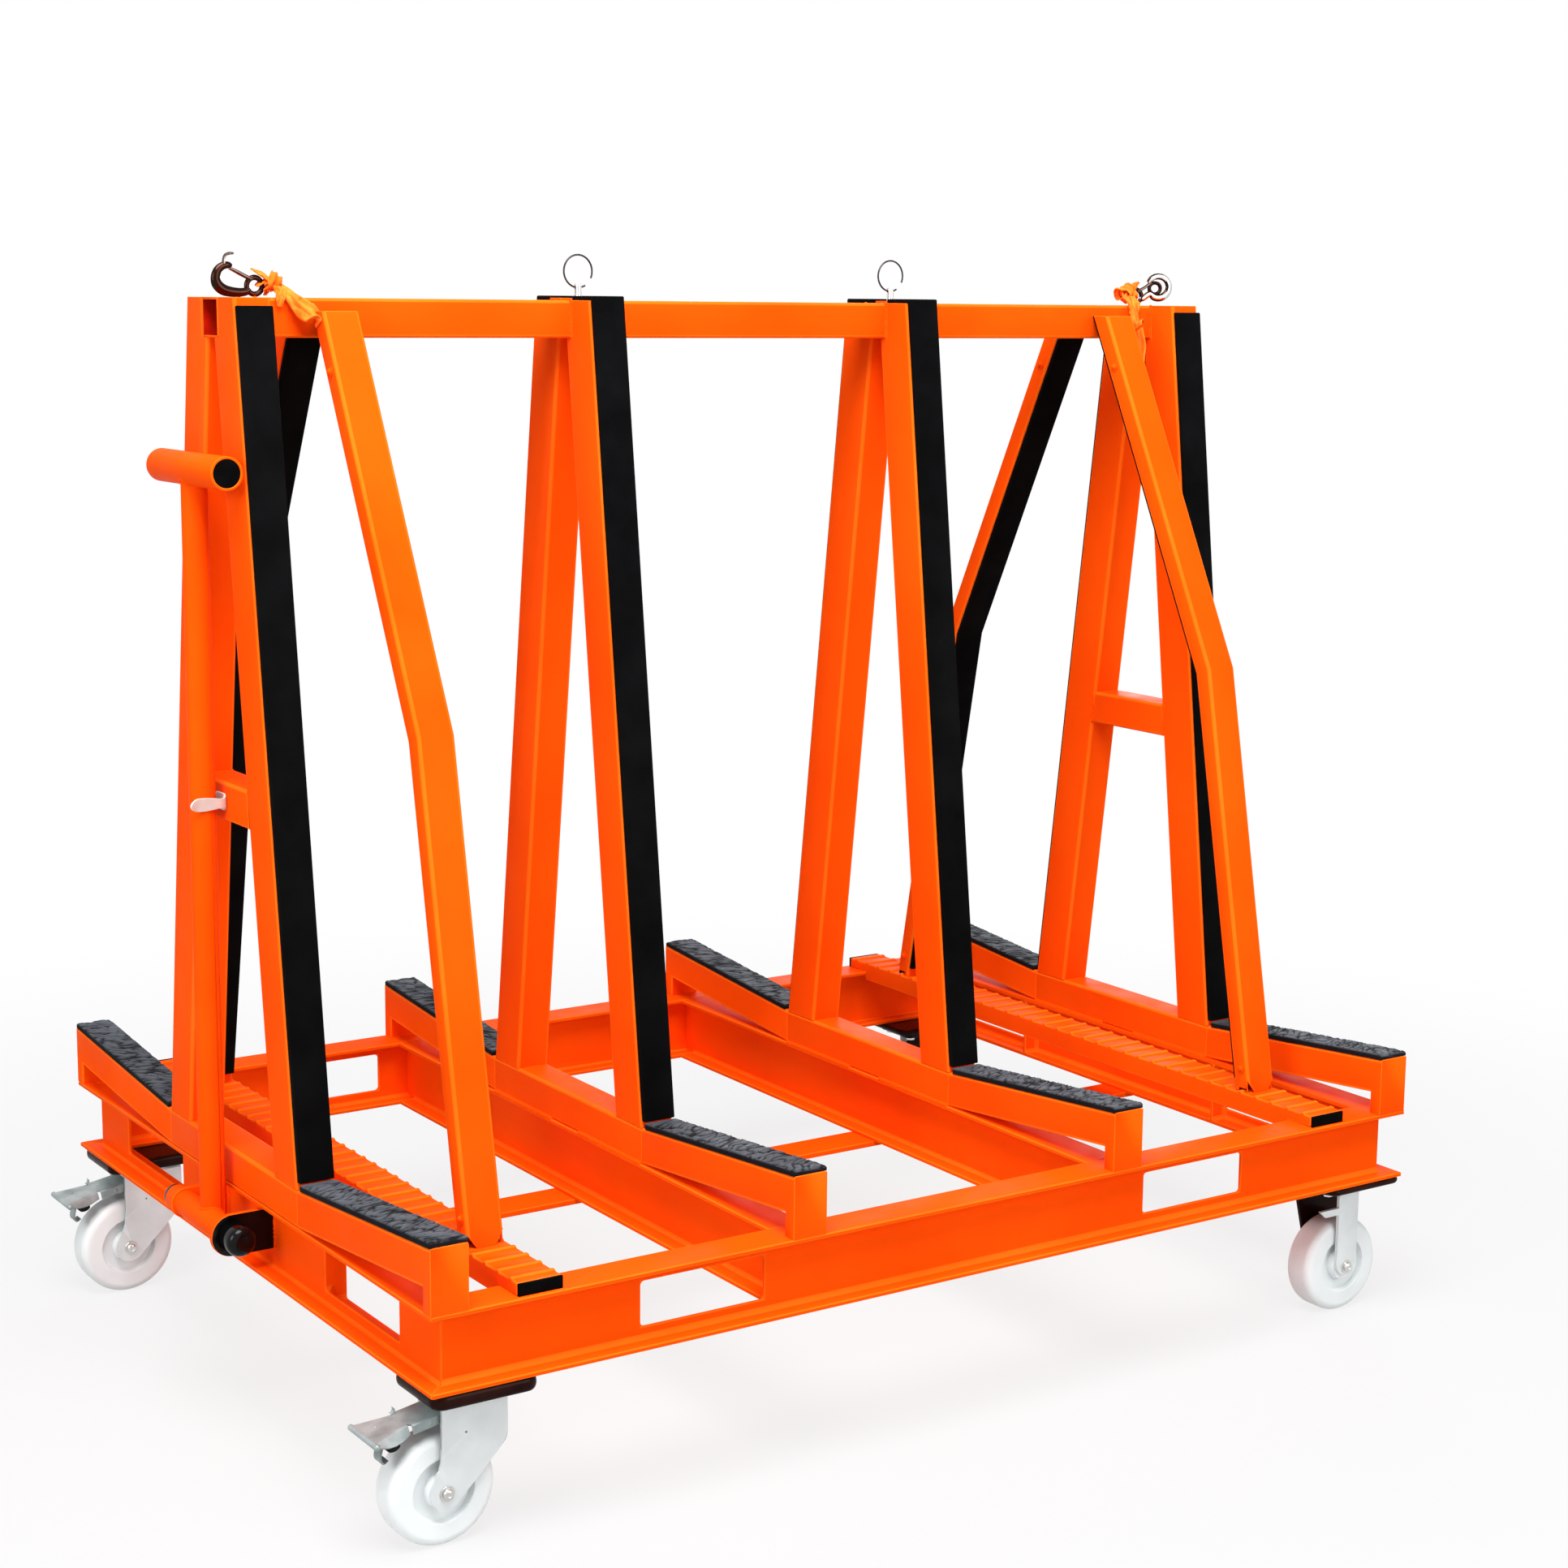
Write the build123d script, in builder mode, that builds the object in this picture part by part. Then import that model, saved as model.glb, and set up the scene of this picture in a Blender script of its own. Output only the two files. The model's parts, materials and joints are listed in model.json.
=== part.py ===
from build123d import *
import os
from math import acos, atan2, cos, hypot, radians, sin, sqrt, tan

os.makedirs("parts", exist_ok=True)

# Slab transport cart: a welded base of I-beams on casters, with an A-frame that slabs lean against.
# X runs along the cart with the tow bar at -X, the front is -Y and +Z is up.
# The origin is on the floor under the middle of the cart's whole length, tow ears included.
# Sizes are in millimetres and degrees.

# Base of I-beams
frame_length = 1575.0
frame_width = 1160.0
beam_height = 100.0
beam_width = 55.0
web_thickness = 5.0
flange_thickness = 6.0
pocket_length = 180.0
pocket_height = 58.0
pocket_spacing = 804.0
window_length = 210.0
window_spacing = 680.0
stiffener_thickness = 6.0
tie_bar_width = 60.0
tie_bar_thickness = 8.0
tie_bar_inset = 10.0

# Square tubes of the A-frames
tube_size = 50.0
tube_wall = 3.0
mid_frame_spacing = 520.0
frame_rise = 1102.0
leg_depth = 70.0
leg_lean = 7.0
leg_top_reach = 75.0
arm_rise = 5.0
arm_post_depth = 20.0
seam_gap = 0.4
end_tie_height = 489.0

# Rubber on the arms and the legs
pad_thickness = 8.0
pad_end_inset = 2.0
pad_foot_gap = 1.0
strip_thickness = 8.0
strip_side_inset = 1.0
strip_foot_gap = 0.5
strip_top_inset = 10.0
strip_lap = 6.0

# Ribbed rails and the safety posts that stand on them
rail_from_end = 147.5
rail_width = 60.0
rail_height = 30.0
rail_above_base = 16.0
rail_end_inset = 10.0
rail_fit = 0.2
rib_pitch = 32.5
rib_width = 10.0
rib_height = 2.5
rib_slope = 45.0
plug_flange = 4.0
plug_depth = 20.0
plug_fit = 0.2
post_width = 50.0
post_depth = 30.0
post_rib = 13
post_foot_gap = 0.3
post_kink_height = 613.0
post_lean = 11.0
post_below_bar = 16.0
post_seat_gap = 0.5
post_strip_thickness = 7.0
post_strip_foot = 14.0
foot_arch_room = 3.0
foot_notch_width = 12.0
foot_notch_height = 18.0

# Tow bar
pivot_reach = 34.5
pivot_above_middle = 10.0
pivot_diameter = 34.0
pivot_wall = 3.5
pivot_length = 210.0
pivot_fit = 0.1
cap_wall = 3.0
cap_end = 15.0
ear_spacing = 156.0
ear_thickness = 8.0
ear_radius = 28.0
ear_side_gap = 1.0
pole_diameter = 33.7
pole_wall = 3.2
pole_inset = 8.0
handle_height = 1245.0
handle_diameter = 42.4
handle_wall = 3.2
handle_length = 214.0
handle_plug_length = 12.0
handle_plug_inset = 0.8
weld_gap = 0.05
clip_thickness = 2.5
clip_height = 25.0
clip_gap = 0.5
clip_reach = 15.0
clip_flare_length = 11.0
clip_flare_width = 5.0
clip_bend = 4.0

# Pull pins with rings, hooks and straps on the top bar
pin_diameter = 10.0
pin_fit = 0.1
pin_below_bar = 15.0
pin_above_bar = 22.0
pin_tip = 2.0
ring_diameter = 46.0
ring_wire = 2.5
ring_end_angle = -60.0
ring_arc = 325.0
ring_hole_fit = 0.75
tab_length = 50.0
tab_width = 30.0
tab_thickness = 3.0
tab_pin_edge = 15.0
hook_nose_radius = 22.0
hook_eye_radius = 14.0
hook_rod = 8.0
hook_length = 72.0
hook_end_inset = 2.5
hook_rounding = 2.5
rest_gap = 0.3
strap_width = 24.0
strap_thickness = 2.5
strap_bunch = 10.0
strap_over_bar = (14.0, 16.0, 3.0)
strap_past_bar = (30.0, 40.0, 14.0)
strap_top_drop = 6.0
strap_tail = 54.0

# Casters
wheel_diameter = 140.0
wheel_width = 48.0
wheel_edge_radius = 12.0
wheel_rim = 29.0
wheel_recess = 9.0
hub_diameter = 40.0
hub_width = 53.0
hub_gap = 0.3
recess_slope = 3.0
axle_diameter = 12.0
axle_fit = 0.05
axle_flats = 19.0
axle_head = 7.0
crown_room = 36.7
crown_length = 87.0
crown_thickness = 6.0
crown_bend = 4.5
cheek_thickness = 5.0
cheek_turn_height = 52.0
cheek_turn_radius = 25.0
cheek_end_radius = 21.0
cheek_sweep_radius = 85.0
cheek_hole = 3.0
cheek_hole_reach = 26.0
cheek_hole_height = 71.0
fixed_leg_width = 39.0
fixed_leg_below = 13.0
fixed_cheek_length = 100.0
fixed_lug_level = 82.0
fixed_lug_height = 10.0
fixed_lug_reach = 57.0
fixed_lug_point = 11.0
caster_trail = 38.0
swivel_gap = 0.3
race_diameter = 72.0
race_height = 8.0
kingpin_diameter = 12.0
kingpin_fit = 0.1
kingpin_nut_flats = 19.0
kingpin_nut_height = 8.0
caster_plate_length = 110.0
caster_plate_width = 85.0
caster_plate_rounding = 8.0
head_plate_thickness = 5.0
spacer_length = 140.0
spacer_width = 116.0
spacer_shift = 10.0
spacer_thickness = 10.0
spacer_rounding = 15.0
bolt_diameter = 8.0
bolt_fit = 0.1
bolt_flats = 13.0
bolt_head = 5.3
bolt_pitch_length = 84.0
bolt_pitch_width = 60.0
bolt_tip_gap = 1.0
bolt_room = 2.0
swivel_inset = 74.5
fixed_inset = 66.5
caster_side_inset = 68.0

# Brake pedals of the swivel casters
pedal_pin_diameter = 6.0
pedal_pin_fit = 0.1
pedal_pin_reach = 32.0
pedal_pin_drop = 13.7
pedal_slope = 10.0
pedal_press = 10.0
pedal_sheet = 2.5
pedal_rise = 7.0
pedal_side_gap = 2.8
pedal_tail = 10.0
pedal_neck = 28.0
pedal_flare = 62.0
pedal_reach = 98.0
pedal_lip_width = 78.0
pedal_lip_radius = 4.0
pedal_flange_depth = 13.0
pedal_skirt_depth = 9.0
shoe_start = 38.0
shoe_length = 10.0
shoe_width = 30.0
shoe_gap = 0.6

# Levels above the floor
axle_level = wheel_diameter / 2
crown_bottom = wheel_diameter + crown_room
crown_top = crown_bottom + crown_thickness
race_bottom = crown_top + swivel_gap
race_top = race_bottom + race_height
spacer_bottom = race_top + head_plate_thickness
base_bottom = spacer_bottom + spacer_thickness
base_middle = base_bottom + beam_height / 2
base_top = base_bottom + beam_height
bearer_top = base_top + tube_size
bar_top = bearer_top + frame_rise
bar_bottom = bar_top - tube_size
rail_top = base_top + rail_above_base
rail_bottom = rail_top - rail_height
pivot_level = base_middle + pivot_above_middle

# Places along and across the cart
half_length = frame_length / 2
half_width = frame_width / 2
half_tube = tube_size / 2
beam_clear = beam_height - 2 * flange_thickness
end_frame_x = half_length - half_tube
mid_frame_x = mid_frame_spacing / 2
rail_x = half_length - rail_from_end
swivel_x = swivel_inset - half_length
fixed_x = half_length - fixed_inset
caster_y = half_width - caster_side_inset
trail_x = swivel_x - caster_trail
pivot_x = -half_length - pivot_reach
pole_x = pivot_x + pole_inset
cheek_inside = hub_width / 2 + hub_gap
cheek_outside = cheek_inside + cheek_thickness
lean = radians(leg_lean)
rise = radians(arm_rise)
leg_level_depth = leg_depth / cos(lean)
whole_middle = (fixed_x + spacer_length / 2 + pivot_x - ear_radius) / 2


def save(name, piece):
    """Set a finished piece over the origin, label it and write it."""
    placed = piece.part.moved(Location((-whole_middle, 0, 0)))
    placed.label = name
    export_step(placed, f"parts/{name}.step")


def leg_face(level):
    """Distance of a leg's outer face from the middle of the cart at one level."""
    return leg_top_reach + (bar_top - level) * tan(lean)


leg_foot = leg_face(bearer_top)


def arm_top(reach):
    """Level of an arm's top at one distance from the middle of the cart."""
    return bearer_top + (reach - leg_foot) * tan(rise)


def i_section():
    """Cross-section of the base beams, centred on the web."""
    Rectangle(beam_width, beam_height)
    with GridLocations(beam_width, 0, 2, 1):
        Rectangle(beam_width - web_thickness, beam_clear, mode=Mode.SUBTRACT)


def mitre_plane(end, side):
    """Upright plane through a corner of the base, facing the long beam."""
    return Plane(origin=(end * half_length, side * half_width, 0), z_dir=(-end, side, 0))


def side_beam(side):
    """Long beam with two fork pockets through its web, mitred at both ends."""
    middle = (0, side * (half_width - beam_width / 2), base_middle)
    with BuildPart() as beam:
        with BuildSketch(Plane(origin=middle, x_dir=(0, 1, 0), z_dir=(1, 0, 0))):
            i_section()
        extrude(amount=half_length, both=True)
        with BuildSketch(Plane(origin=middle, x_dir=(1, 0, 0), z_dir=(0, -1, 0))):
            with GridLocations(pocket_spacing, 0, 2, 1):
                Rectangle(pocket_length, pocket_height)
        extrude(amount=web_thickness, both=True, mode=Mode.SUBTRACT)
        for end in (-1, 1):
            split(bisect_by=mitre_plane(end, side), keep=Keep.TOP)
    return beam


def end_beam(end):
    """Short beam with two windows in its web and a stiffener beside each, mitred at both ends."""
    middle = (end * (half_length - beam_width / 2), 0, base_middle)
    shelf = (beam_width - web_thickness) / 2
    stiffener_spacing = window_spacing - window_length - stiffener_thickness
    stiffener_x = end * (half_length - beam_width + shelf / 2)
    with BuildPart() as beam:
        with BuildSketch(Plane(origin=middle, x_dir=(1, 0, 0), z_dir=(0, -1, 0))):
            i_section()
        extrude(amount=half_width, both=True)
        with BuildSketch(Plane(origin=middle, x_dir=(0, 1, 0), z_dir=(1, 0, 0))):
            with GridLocations(window_spacing, 0, 2, 1):
                Rectangle(window_length, pocket_height)
        extrude(amount=web_thickness, both=True, mode=Mode.SUBTRACT)
        with BuildSketch(Plane.XY.offset(base_middle)):
            with Locations((stiffener_x, 0)):
                with GridLocations(0, stiffener_spacing, 1, 2):
                    Rectangle(shelf, stiffener_thickness)
        extrude(amount=beam_clear / 2, both=True)
        for side in (-1, 1):
            split(bisect_by=mitre_plane(end, side), keep=Keep.BOTTOM)
    return beam


save("front_beam", side_beam(-1))
save("rear_beam", side_beam(1))
save("left_end_beam", end_beam(-1))
save("right_end_beam", end_beam(1))

# Cross beams: flanges butt the long beams' flanges, and the coped web reaches their webs.
with BuildPart() as cross_beams:
    for x in (-mid_frame_x, mid_frame_x):
        across = Plane(origin=(x, 0, base_middle), x_dir=(1, 0, 0), z_dir=(0, -1, 0))
        with BuildSketch(across):
            i_section()
        extrude(amount=half_width - beam_width, both=True)
        with BuildSketch(across):
            Rectangle(web_thickness, beam_clear)
        extrude(amount=half_width - (beam_width + web_thickness) / 2, both=True)
save("cross_beams", cross_beams)

# Tie bar: one flat under the bottom flanges, from end beam to end beam.
with BuildPart() as tie_bar:
    with BuildSketch(Plane.XY.offset(base_bottom)):
        Rectangle(frame_length - 2 * tie_bar_inset, tie_bar_width)
    extrude(amount=-tie_bar_thickness)
save("tie_bar", tie_bar)


def bearer(x):
    """Level tube with an arm rising outwards at each end and a short post under each arm's tip."""
    arm_start = leg_foot + seam_gap
    arm_end = half_width - tube_wall
    post_start = half_width - arm_post_depth
    bore = half_tube - tube_wall
    with BuildPart() as tubes:
        with BuildSketch(Plane.YZ.offset(x)):
            with Locations((0, base_top + half_tube)):
                Rectangle(2 * leg_foot, tube_size)
            for side in (-1, 1):
                Polygon(
                    (side * arm_start, arm_top(arm_start) - tube_size),
                    (side * post_start, arm_top(post_start) - tube_size),
                    (side * post_start, base_top),
                    (side * half_width, base_top),
                    (side * half_width, arm_top(half_width)),
                    (side * arm_start, arm_top(arm_start)),
                )
        extrude(amount=half_tube, both=True)
        with BuildSketch(Plane.YZ.offset(x)):
            with Locations((0, base_top + half_tube)):
                Rectangle(2 * leg_foot, 2 * bore)
            for side in (-1, 1):
                Polygon(
                    (side * arm_start, arm_top(arm_start) - tube_size + tube_wall),
                    (side * arm_end, arm_top(arm_end) - tube_size + tube_wall),
                    (side * arm_end, arm_top(arm_end) - tube_wall),
                    (side * arm_start, arm_top(arm_start) - tube_wall),
                )
        extrude(amount=bore, both=True, mode=Mode.SUBTRACT)
    return tubes


def leg_outline(side, inset):
    """Side view of one leg, notched round the top bar and moved in by a wall."""
    shift = inset / cos(lean)
    outer_top = leg_face(bar_top - inset) - shift
    inner_top = leg_face(bar_bottom - inset) - leg_level_depth + shift
    Polygon(
        (side * outer_top, bar_top - inset),
        (side * (leg_foot - shift), bearer_top),
        (side * (leg_foot - leg_level_depth + shift), bearer_top),
        (side * inner_top, bar_bottom - inset),
        (side * (half_tube + inset), bar_bottom - inset),
        (side * (half_tube + inset), bar_top - inset),
    )


def legs(x):
    """Pair of leaning legs that carry the top bar between them."""
    with BuildPart() as pair:
        with BuildSketch(Plane.YZ.offset(x)):
            for side in (-1, 1):
                leg_outline(side, 0)
        extrude(amount=half_tube, both=True)
        with BuildSketch(Plane.YZ.offset(x)):
            for side in (-1, 1):
                leg_outline(side, tube_wall)
        extrude(amount=half_tube - tube_wall, both=True, mode=Mode.SUBTRACT)
    return pair


frames = {"left": -end_frame_x, "mid_left": -mid_frame_x, "mid_right": mid_frame_x, "right": end_frame_x}
for place, x in frames.items():
    save(f"{place}_bearer", bearer(x))
    save(f"{place}_legs", legs(x))


def pads(side):
    """Rubber pads on the arms of one side."""
    inner = leg_foot + strip_thickness / cos(lean) + pad_foot_gap
    outer = half_width - pad_end_inset
    height = pad_thickness / cos(rise)
    with BuildPart() as rubber:
        for x in frames.values():
            with BuildSketch(Plane.YZ.offset(x)):
                Polygon(
                    (side * inner, arm_top(inner)),
                    (side * outer, arm_top(outer)),
                    (side * outer, arm_top(outer) + height),
                    (side * inner, arm_top(inner) + height),
                )
            extrude(amount=half_tube, both=True)
    return rubber


def leg_strips(side):
    """Rubber strips on the legs of one side, from the pads up, lapped over the top on the middle frames."""
    depth = strip_thickness / cos(lean)
    foot = arm_top(leg_foot + depth) + pad_thickness / cos(rise) + strip_foot_gap
    end_top = bar_top - strip_top_inset
    lap_top = bar_top + strip_lap
    with BuildPart() as rubber:
        for x in (-end_frame_x, end_frame_x):
            with BuildSketch(Plane.YZ.offset(x)):
                Polygon(
                    (side * leg_face(foot), foot),
                    (side * (leg_face(foot) + depth), foot),
                    (side * (leg_face(end_top) + depth), end_top),
                    (side * leg_face(end_top), end_top),
                )
            extrude(amount=half_tube - strip_side_inset, both=True)
        for x in (-mid_frame_x, mid_frame_x):
            with BuildSketch(Plane.YZ.offset(x)):
                Polygon(
                    (side * leg_face(foot), foot),
                    (side * (leg_face(foot) + depth), foot),
                    (side * (leg_face(lap_top) + depth), lap_top),
                    (side * half_tube, lap_top),
                    (side * half_tube, bar_top),
                    (side * leg_top_reach, bar_top),
                )
            extrude(amount=half_tube - strip_side_inset, both=True)
    return rubber


for name, side in (("front", -1), ("rear", 1)):
    save(f"{name}_pads", pads(side))
    save(f"{name}_leg_strips", leg_strips(side))

# Top bar: open square tube along the ridge, drilled for the two pull pins.
with BuildPart() as top_bar:
    with BuildSketch(Plane.YZ):
        with Locations((0, bar_top - half_tube)):
            Rectangle(tube_size, tube_size)
            Rectangle(tube_size - 2 * tube_wall, tube_size - 2 * tube_wall, mode=Mode.SUBTRACT)
    extrude(amount=half_length, both=True)
    with BuildSketch(Plane.XY.offset(bar_bottom)):
        with GridLocations(mid_frame_spacing, 0, 2, 1):
            Circle(pin_diameter / 2 + pin_fit)
    extrude(amount=tube_size, mode=Mode.SUBTRACT)
save("top_bar", top_bar)

# End ties: a short tube between the two legs of each end frame, cut to their lean.
with BuildPart() as end_ties:
    tie_low = base_top + end_tie_height
    tie_high = tie_low + tube_size
    tie_bore = half_tube - tube_wall
    low_reach = leg_face(tie_low) - leg_level_depth
    high_reach = leg_face(tie_high) - leg_level_depth
    for x in (-end_frame_x, end_frame_x):
        with BuildSketch(Plane.YZ.offset(x)):
            Polygon(
                (-low_reach, tie_low),
                (low_reach, tie_low),
                (high_reach, tie_high),
                (-high_reach, tie_high),
            )
        extrude(amount=half_tube, both=True)
        with BuildSketch(Plane.YZ.offset(x)):
            with Locations((0, tie_low + half_tube)):
                Rectangle(2 * low_reach, 2 * tie_bore)
        extrude(amount=tie_bore, both=True, mode=Mode.SUBTRACT)
save("end_ties", end_ties)

# Ribbed rails across the base: tubes notched over the long beams, with cross ribs on top.
rail_half = half_width - rail_end_inset
notch_y = half_width - beam_width - rail_fit
rib_count = 2 * int((rail_half - rib_width) / rib_pitch) + 1
with BuildPart() as rails:
    rail_bore = rail_width / 2 - tube_wall
    for x in (-rail_x, rail_x):
        with BuildSketch(Plane.YZ.offset(x)):
            Polygon(
                (-notch_y, rail_bottom),
                (notch_y, rail_bottom),
                (notch_y, base_top),
                (rail_half, base_top),
                (rail_half, rail_top),
                (-rail_half, rail_top),
                (-rail_half, base_top),
                (-notch_y, base_top),
            )
        extrude(amount=rail_width / 2, both=True)
        with BuildSketch(Plane.YZ.offset(x)):
            with Locations((0, rail_top - rail_height / 2)):
                Rectangle(2 * rail_half, rail_height - 2 * tube_wall)
        extrude(amount=rail_bore, both=True, mode=Mode.SUBTRACT)
        with BuildSketch(Plane.YZ.offset(x)):
            with Locations((0, rail_top)):
                with GridLocations(rib_pitch, 0, rib_count, 1):
                    Trapezoid(rib_width, rib_height, rib_slope, align=(Align.CENTER, Align.MIN))
        extrude(amount=rail_width / 2, both=True)
save("rails", rails)

# Plugs in the rails' open ends: a flange outside and a tongue inside the tube.
with BuildPart() as rail_plugs:
    tongue_height = rail_above_base - tube_wall - 2 * plug_fit
    tongue_width = rail_width - 2 * tube_wall - 2 * plug_fit
    for x in (-rail_x, rail_x):
        for side in (-1, 1):
            mouth = Plane(origin=(x, side * rail_half, base_top), x_dir=(-side, 0, 0), z_dir=(0, side, 0))
            with BuildSketch(mouth):
                Rectangle(rail_width, rail_above_base, align=(Align.CENTER, Align.MIN))
            extrude(amount=plug_flange)
            with BuildSketch(mouth):
                with Locations((0, plug_fit)):
                    Rectangle(tongue_width, tongue_height, align=(Align.CENTER, Align.MIN))
            extrude(amount=-plug_depth)
save("rail_plugs", rail_plugs)

# Safety posts: kinked tubes that stand astride a rib and lean in against the top bar.
post_foot = rail_top + post_foot_gap
post_kink = rail_top + post_kink_height
post_top = bar_top - post_below_bar
lower_lean = radians(post_lean)
foot_face = post_rib * rib_pitch + post_depth / cos(lower_lean) / 2
kink_face = foot_face - (post_kink - post_foot) * tan(lower_lean)
post_seat = half_tube + post_seat_gap
upper_rise = post_top - post_kink
upper_run = kink_face - post_seat
upper_reach = hypot(upper_run, upper_rise)
upper_lean = acos((post_depth + post_strip_thickness) / upper_reach) - atan2(upper_rise, upper_run)


def post_edge(side, inset, bottom):
    """Foot, kink and top of a line that runs inside a post's outer face."""
    spread = (1 / cos(lower_lean) - 1 / cos(upper_lean)) / (tan(upper_lean) - tan(lower_lean))
    kink = post_kink + inset * spread
    foot_y = foot_face - (bottom - post_foot) * tan(lower_lean) - inset / cos(lower_lean)
    kink_y = foot_face - (kink - post_foot) * tan(lower_lean) - inset / cos(lower_lean)
    top_y = kink_face - upper_rise * tan(upper_lean) - inset / cos(upper_lean)
    return [(side * foot_y, bottom), (side * kink_y, kink), (side * top_y, post_top)]


def post(x, side):
    """One kinked tube, with an arch in its side walls over the rib."""
    with BuildPart() as tube:
        with BuildSketch(Plane.YZ.offset(x)):
            Polygon(*post_edge(side, 0, post_foot), *reversed(post_edge(side, post_depth, post_foot)))
        extrude(amount=post_width / 2, both=True)
        with BuildSketch(Plane.YZ.offset(x)):
            far_wall = post_edge(side, post_depth - tube_wall, post_foot)
            Polygon(*post_edge(side, tube_wall, post_foot), *reversed(far_wall))
        extrude(amount=post_width / 2 - tube_wall, both=True, mode=Mode.SUBTRACT)
        with BuildSketch(Plane.YZ.offset(x)):
            with Locations((side * post_rib * rib_pitch, rail_top)):
                arch_width = rib_width + 2 * foot_arch_room
                arch_height = rib_height + foot_arch_room
                Rectangle(arch_width, arch_height, align=(Align.CENTER, Align.MIN))
        extrude(amount=post_width / 2, both=True, mode=Mode.SUBTRACT)
        with BuildSketch(Plane(origin=(x, side * foot_face, post_foot), x_dir=(1, 0, 0), z_dir=(0, side, 0))):
            for hand in (-1, 1):
                Polygon(
                    (hand * post_width / 2, 0),
                    (hand * post_width / 2, -side * foot_notch_height),
                    (hand * (post_width / 2 - foot_notch_width), 0),
                )
        extrude(amount=tube_wall + foot_notch_height * tan(lower_lean), both=True, mode=Mode.SUBTRACT)
    return tube


def post_strip(x, side):
    """Rubber strip down the inner face of a post."""
    bottom = post_foot + post_strip_foot
    with BuildPart() as rubber:
        with BuildSketch(Plane.YZ.offset(x)):
            far_face = post_edge(side, post_depth + post_strip_thickness, bottom)
            Polygon(*post_edge(side, post_depth, bottom), *reversed(far_face))
        extrude(amount=post_width / 2 - strip_side_inset, both=True)
    return rubber


for row, side in (("front", -1), ("rear", 1)):
    for hand, x in (("left", -rail_x), ("right", rail_x)):
        save(f"{row}_{hand}_post", post(x, side))
        save(f"{row}_{hand}_post_strip", post_strip(x, side))

# Tow ears: two plates on the end beam's web that carry the pivot tube.
web_face_x = (beam_width - web_thickness) / 2 - half_length
ear_reach = web_face_x - pivot_x
with BuildPart() as tow_ears:
    for side in (-1, 1):
        ear_middle = (pivot_x, side * ear_spacing / 2, pivot_level)
        ear_plane = Plane(origin=ear_middle, x_dir=(1, 0, 0), z_dir=(0, -1, 0))
        with BuildSketch(ear_plane):
            Circle(ear_radius)
            Rectangle(ear_reach, 2 * ear_radius, align=(Align.MIN, Align.CENTER))
            Circle(pivot_diameter / 2 + pivot_fit, mode=Mode.SUBTRACT)
        extrude(amount=ear_thickness / 2, both=True)
save("tow_ears", tow_ears)

# Tow bar: a pivot tube in the ears, the pole welded on it and a tube across the pole as handle.
pivot_plane = Plane(origin=(pivot_x, 0, pivot_level), x_dir=(1, 0, 0), z_dir=(0, -1, 0))
with BuildPart() as tow_pivot_tube:
    with BuildSketch(pivot_plane):
        Circle(pivot_diameter / 2)
        Circle(pivot_diameter / 2 - pivot_wall, mode=Mode.SUBTRACT)
    extrude(amount=pivot_length / 2, both=True)
save("tow_pivot_tube", tow_pivot_tube)

handle_plane = Plane(origin=(pole_x, 0, handle_height), x_dir=(1, 0, 0), z_dir=(0, -1, 0))
with BuildPart() as tow_handle:
    with BuildSketch(handle_plane):
        Circle(handle_diameter / 2)
        Circle(handle_diameter / 2 - handle_wall, mode=Mode.SUBTRACT)
    extrude(amount=handle_length / 2, both=True)
save("tow_handle", tow_handle)

with BuildPart() as tow_pole:
    with BuildSketch(Plane.XY.offset(pivot_level)):
        with Locations((pole_x, 0)):
            Circle(pole_diameter / 2)
            Circle(pole_diameter / 2 - pole_wall, mode=Mode.SUBTRACT)
    extrude(amount=handle_height - pivot_level)
    for cope_plane, diameter in ((pivot_plane, pivot_diameter), (handle_plane, handle_diameter)):
        with BuildSketch(cope_plane):
            Circle(diameter / 2 + weld_gap)
        extrude(amount=pole_diameter, both=True, mode=Mode.SUBTRACT)
save("tow_pole", tow_pole)

# Caps over the pivot tube's ends, which keep it between the ears, and plugs in the handle's ends.
with BuildPart() as tow_caps:
    cap_start = ear_spacing / 2 + ear_thickness / 2 + ear_side_gap
    cap_length = pivot_length / 2 + cap_end - cap_start
    for side in (-1, 1):
        cap_mouth = (pivot_x, side * cap_start, pivot_level)
        cap_plane = Plane(origin=cap_mouth, x_dir=(1, 0, 0), z_dir=(0, side, 0))
        with BuildSketch(cap_plane):
            Circle(pivot_diameter / 2 + cap_wall)
        extrude(amount=cap_length)
        with BuildSketch(cap_plane):
            Circle(pivot_diameter / 2 + weld_gap)
        extrude(amount=cap_length - cap_end, mode=Mode.SUBTRACT)
        plug_face = (pole_x, side * (handle_length / 2 - handle_plug_inset), handle_height)
        with BuildSketch(Plane(origin=plug_face, x_dir=(1, 0, 0), z_dir=(0, side, 0))):
            Circle(handle_diameter / 2 - handle_wall - weld_gap)
        extrude(amount=-handle_plug_length)
save("tow_caps", tow_caps)

# Spring clip on the left end tie that takes the pole when the bar is up.
with BuildPart() as pole_clip:
    clip_side = pole_diameter / 2 + clip_gap
    clip_back = -half_length - clip_thickness
    clip_mouth = pole_x - clip_reach
    clip_middle = base_top + end_tie_height + half_tube
    with BuildSketch(Plane.XY.offset(clip_middle)):
        with BuildLine():
            FilletPolyline(
                (clip_mouth - clip_flare_length, -clip_side - clip_flare_width),
                (clip_mouth, -clip_side),
                (clip_back, -clip_side),
                (clip_back, clip_side),
                (clip_mouth, clip_side),
                (clip_mouth - clip_flare_length, clip_side + clip_flare_width),
                radius=clip_bend,
            )
            offset(amount=clip_thickness, side=Side.RIGHT)
        make_face()
    extrude(amount=clip_height / 2, both=True)
save("pole_clip", pole_clip)

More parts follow.
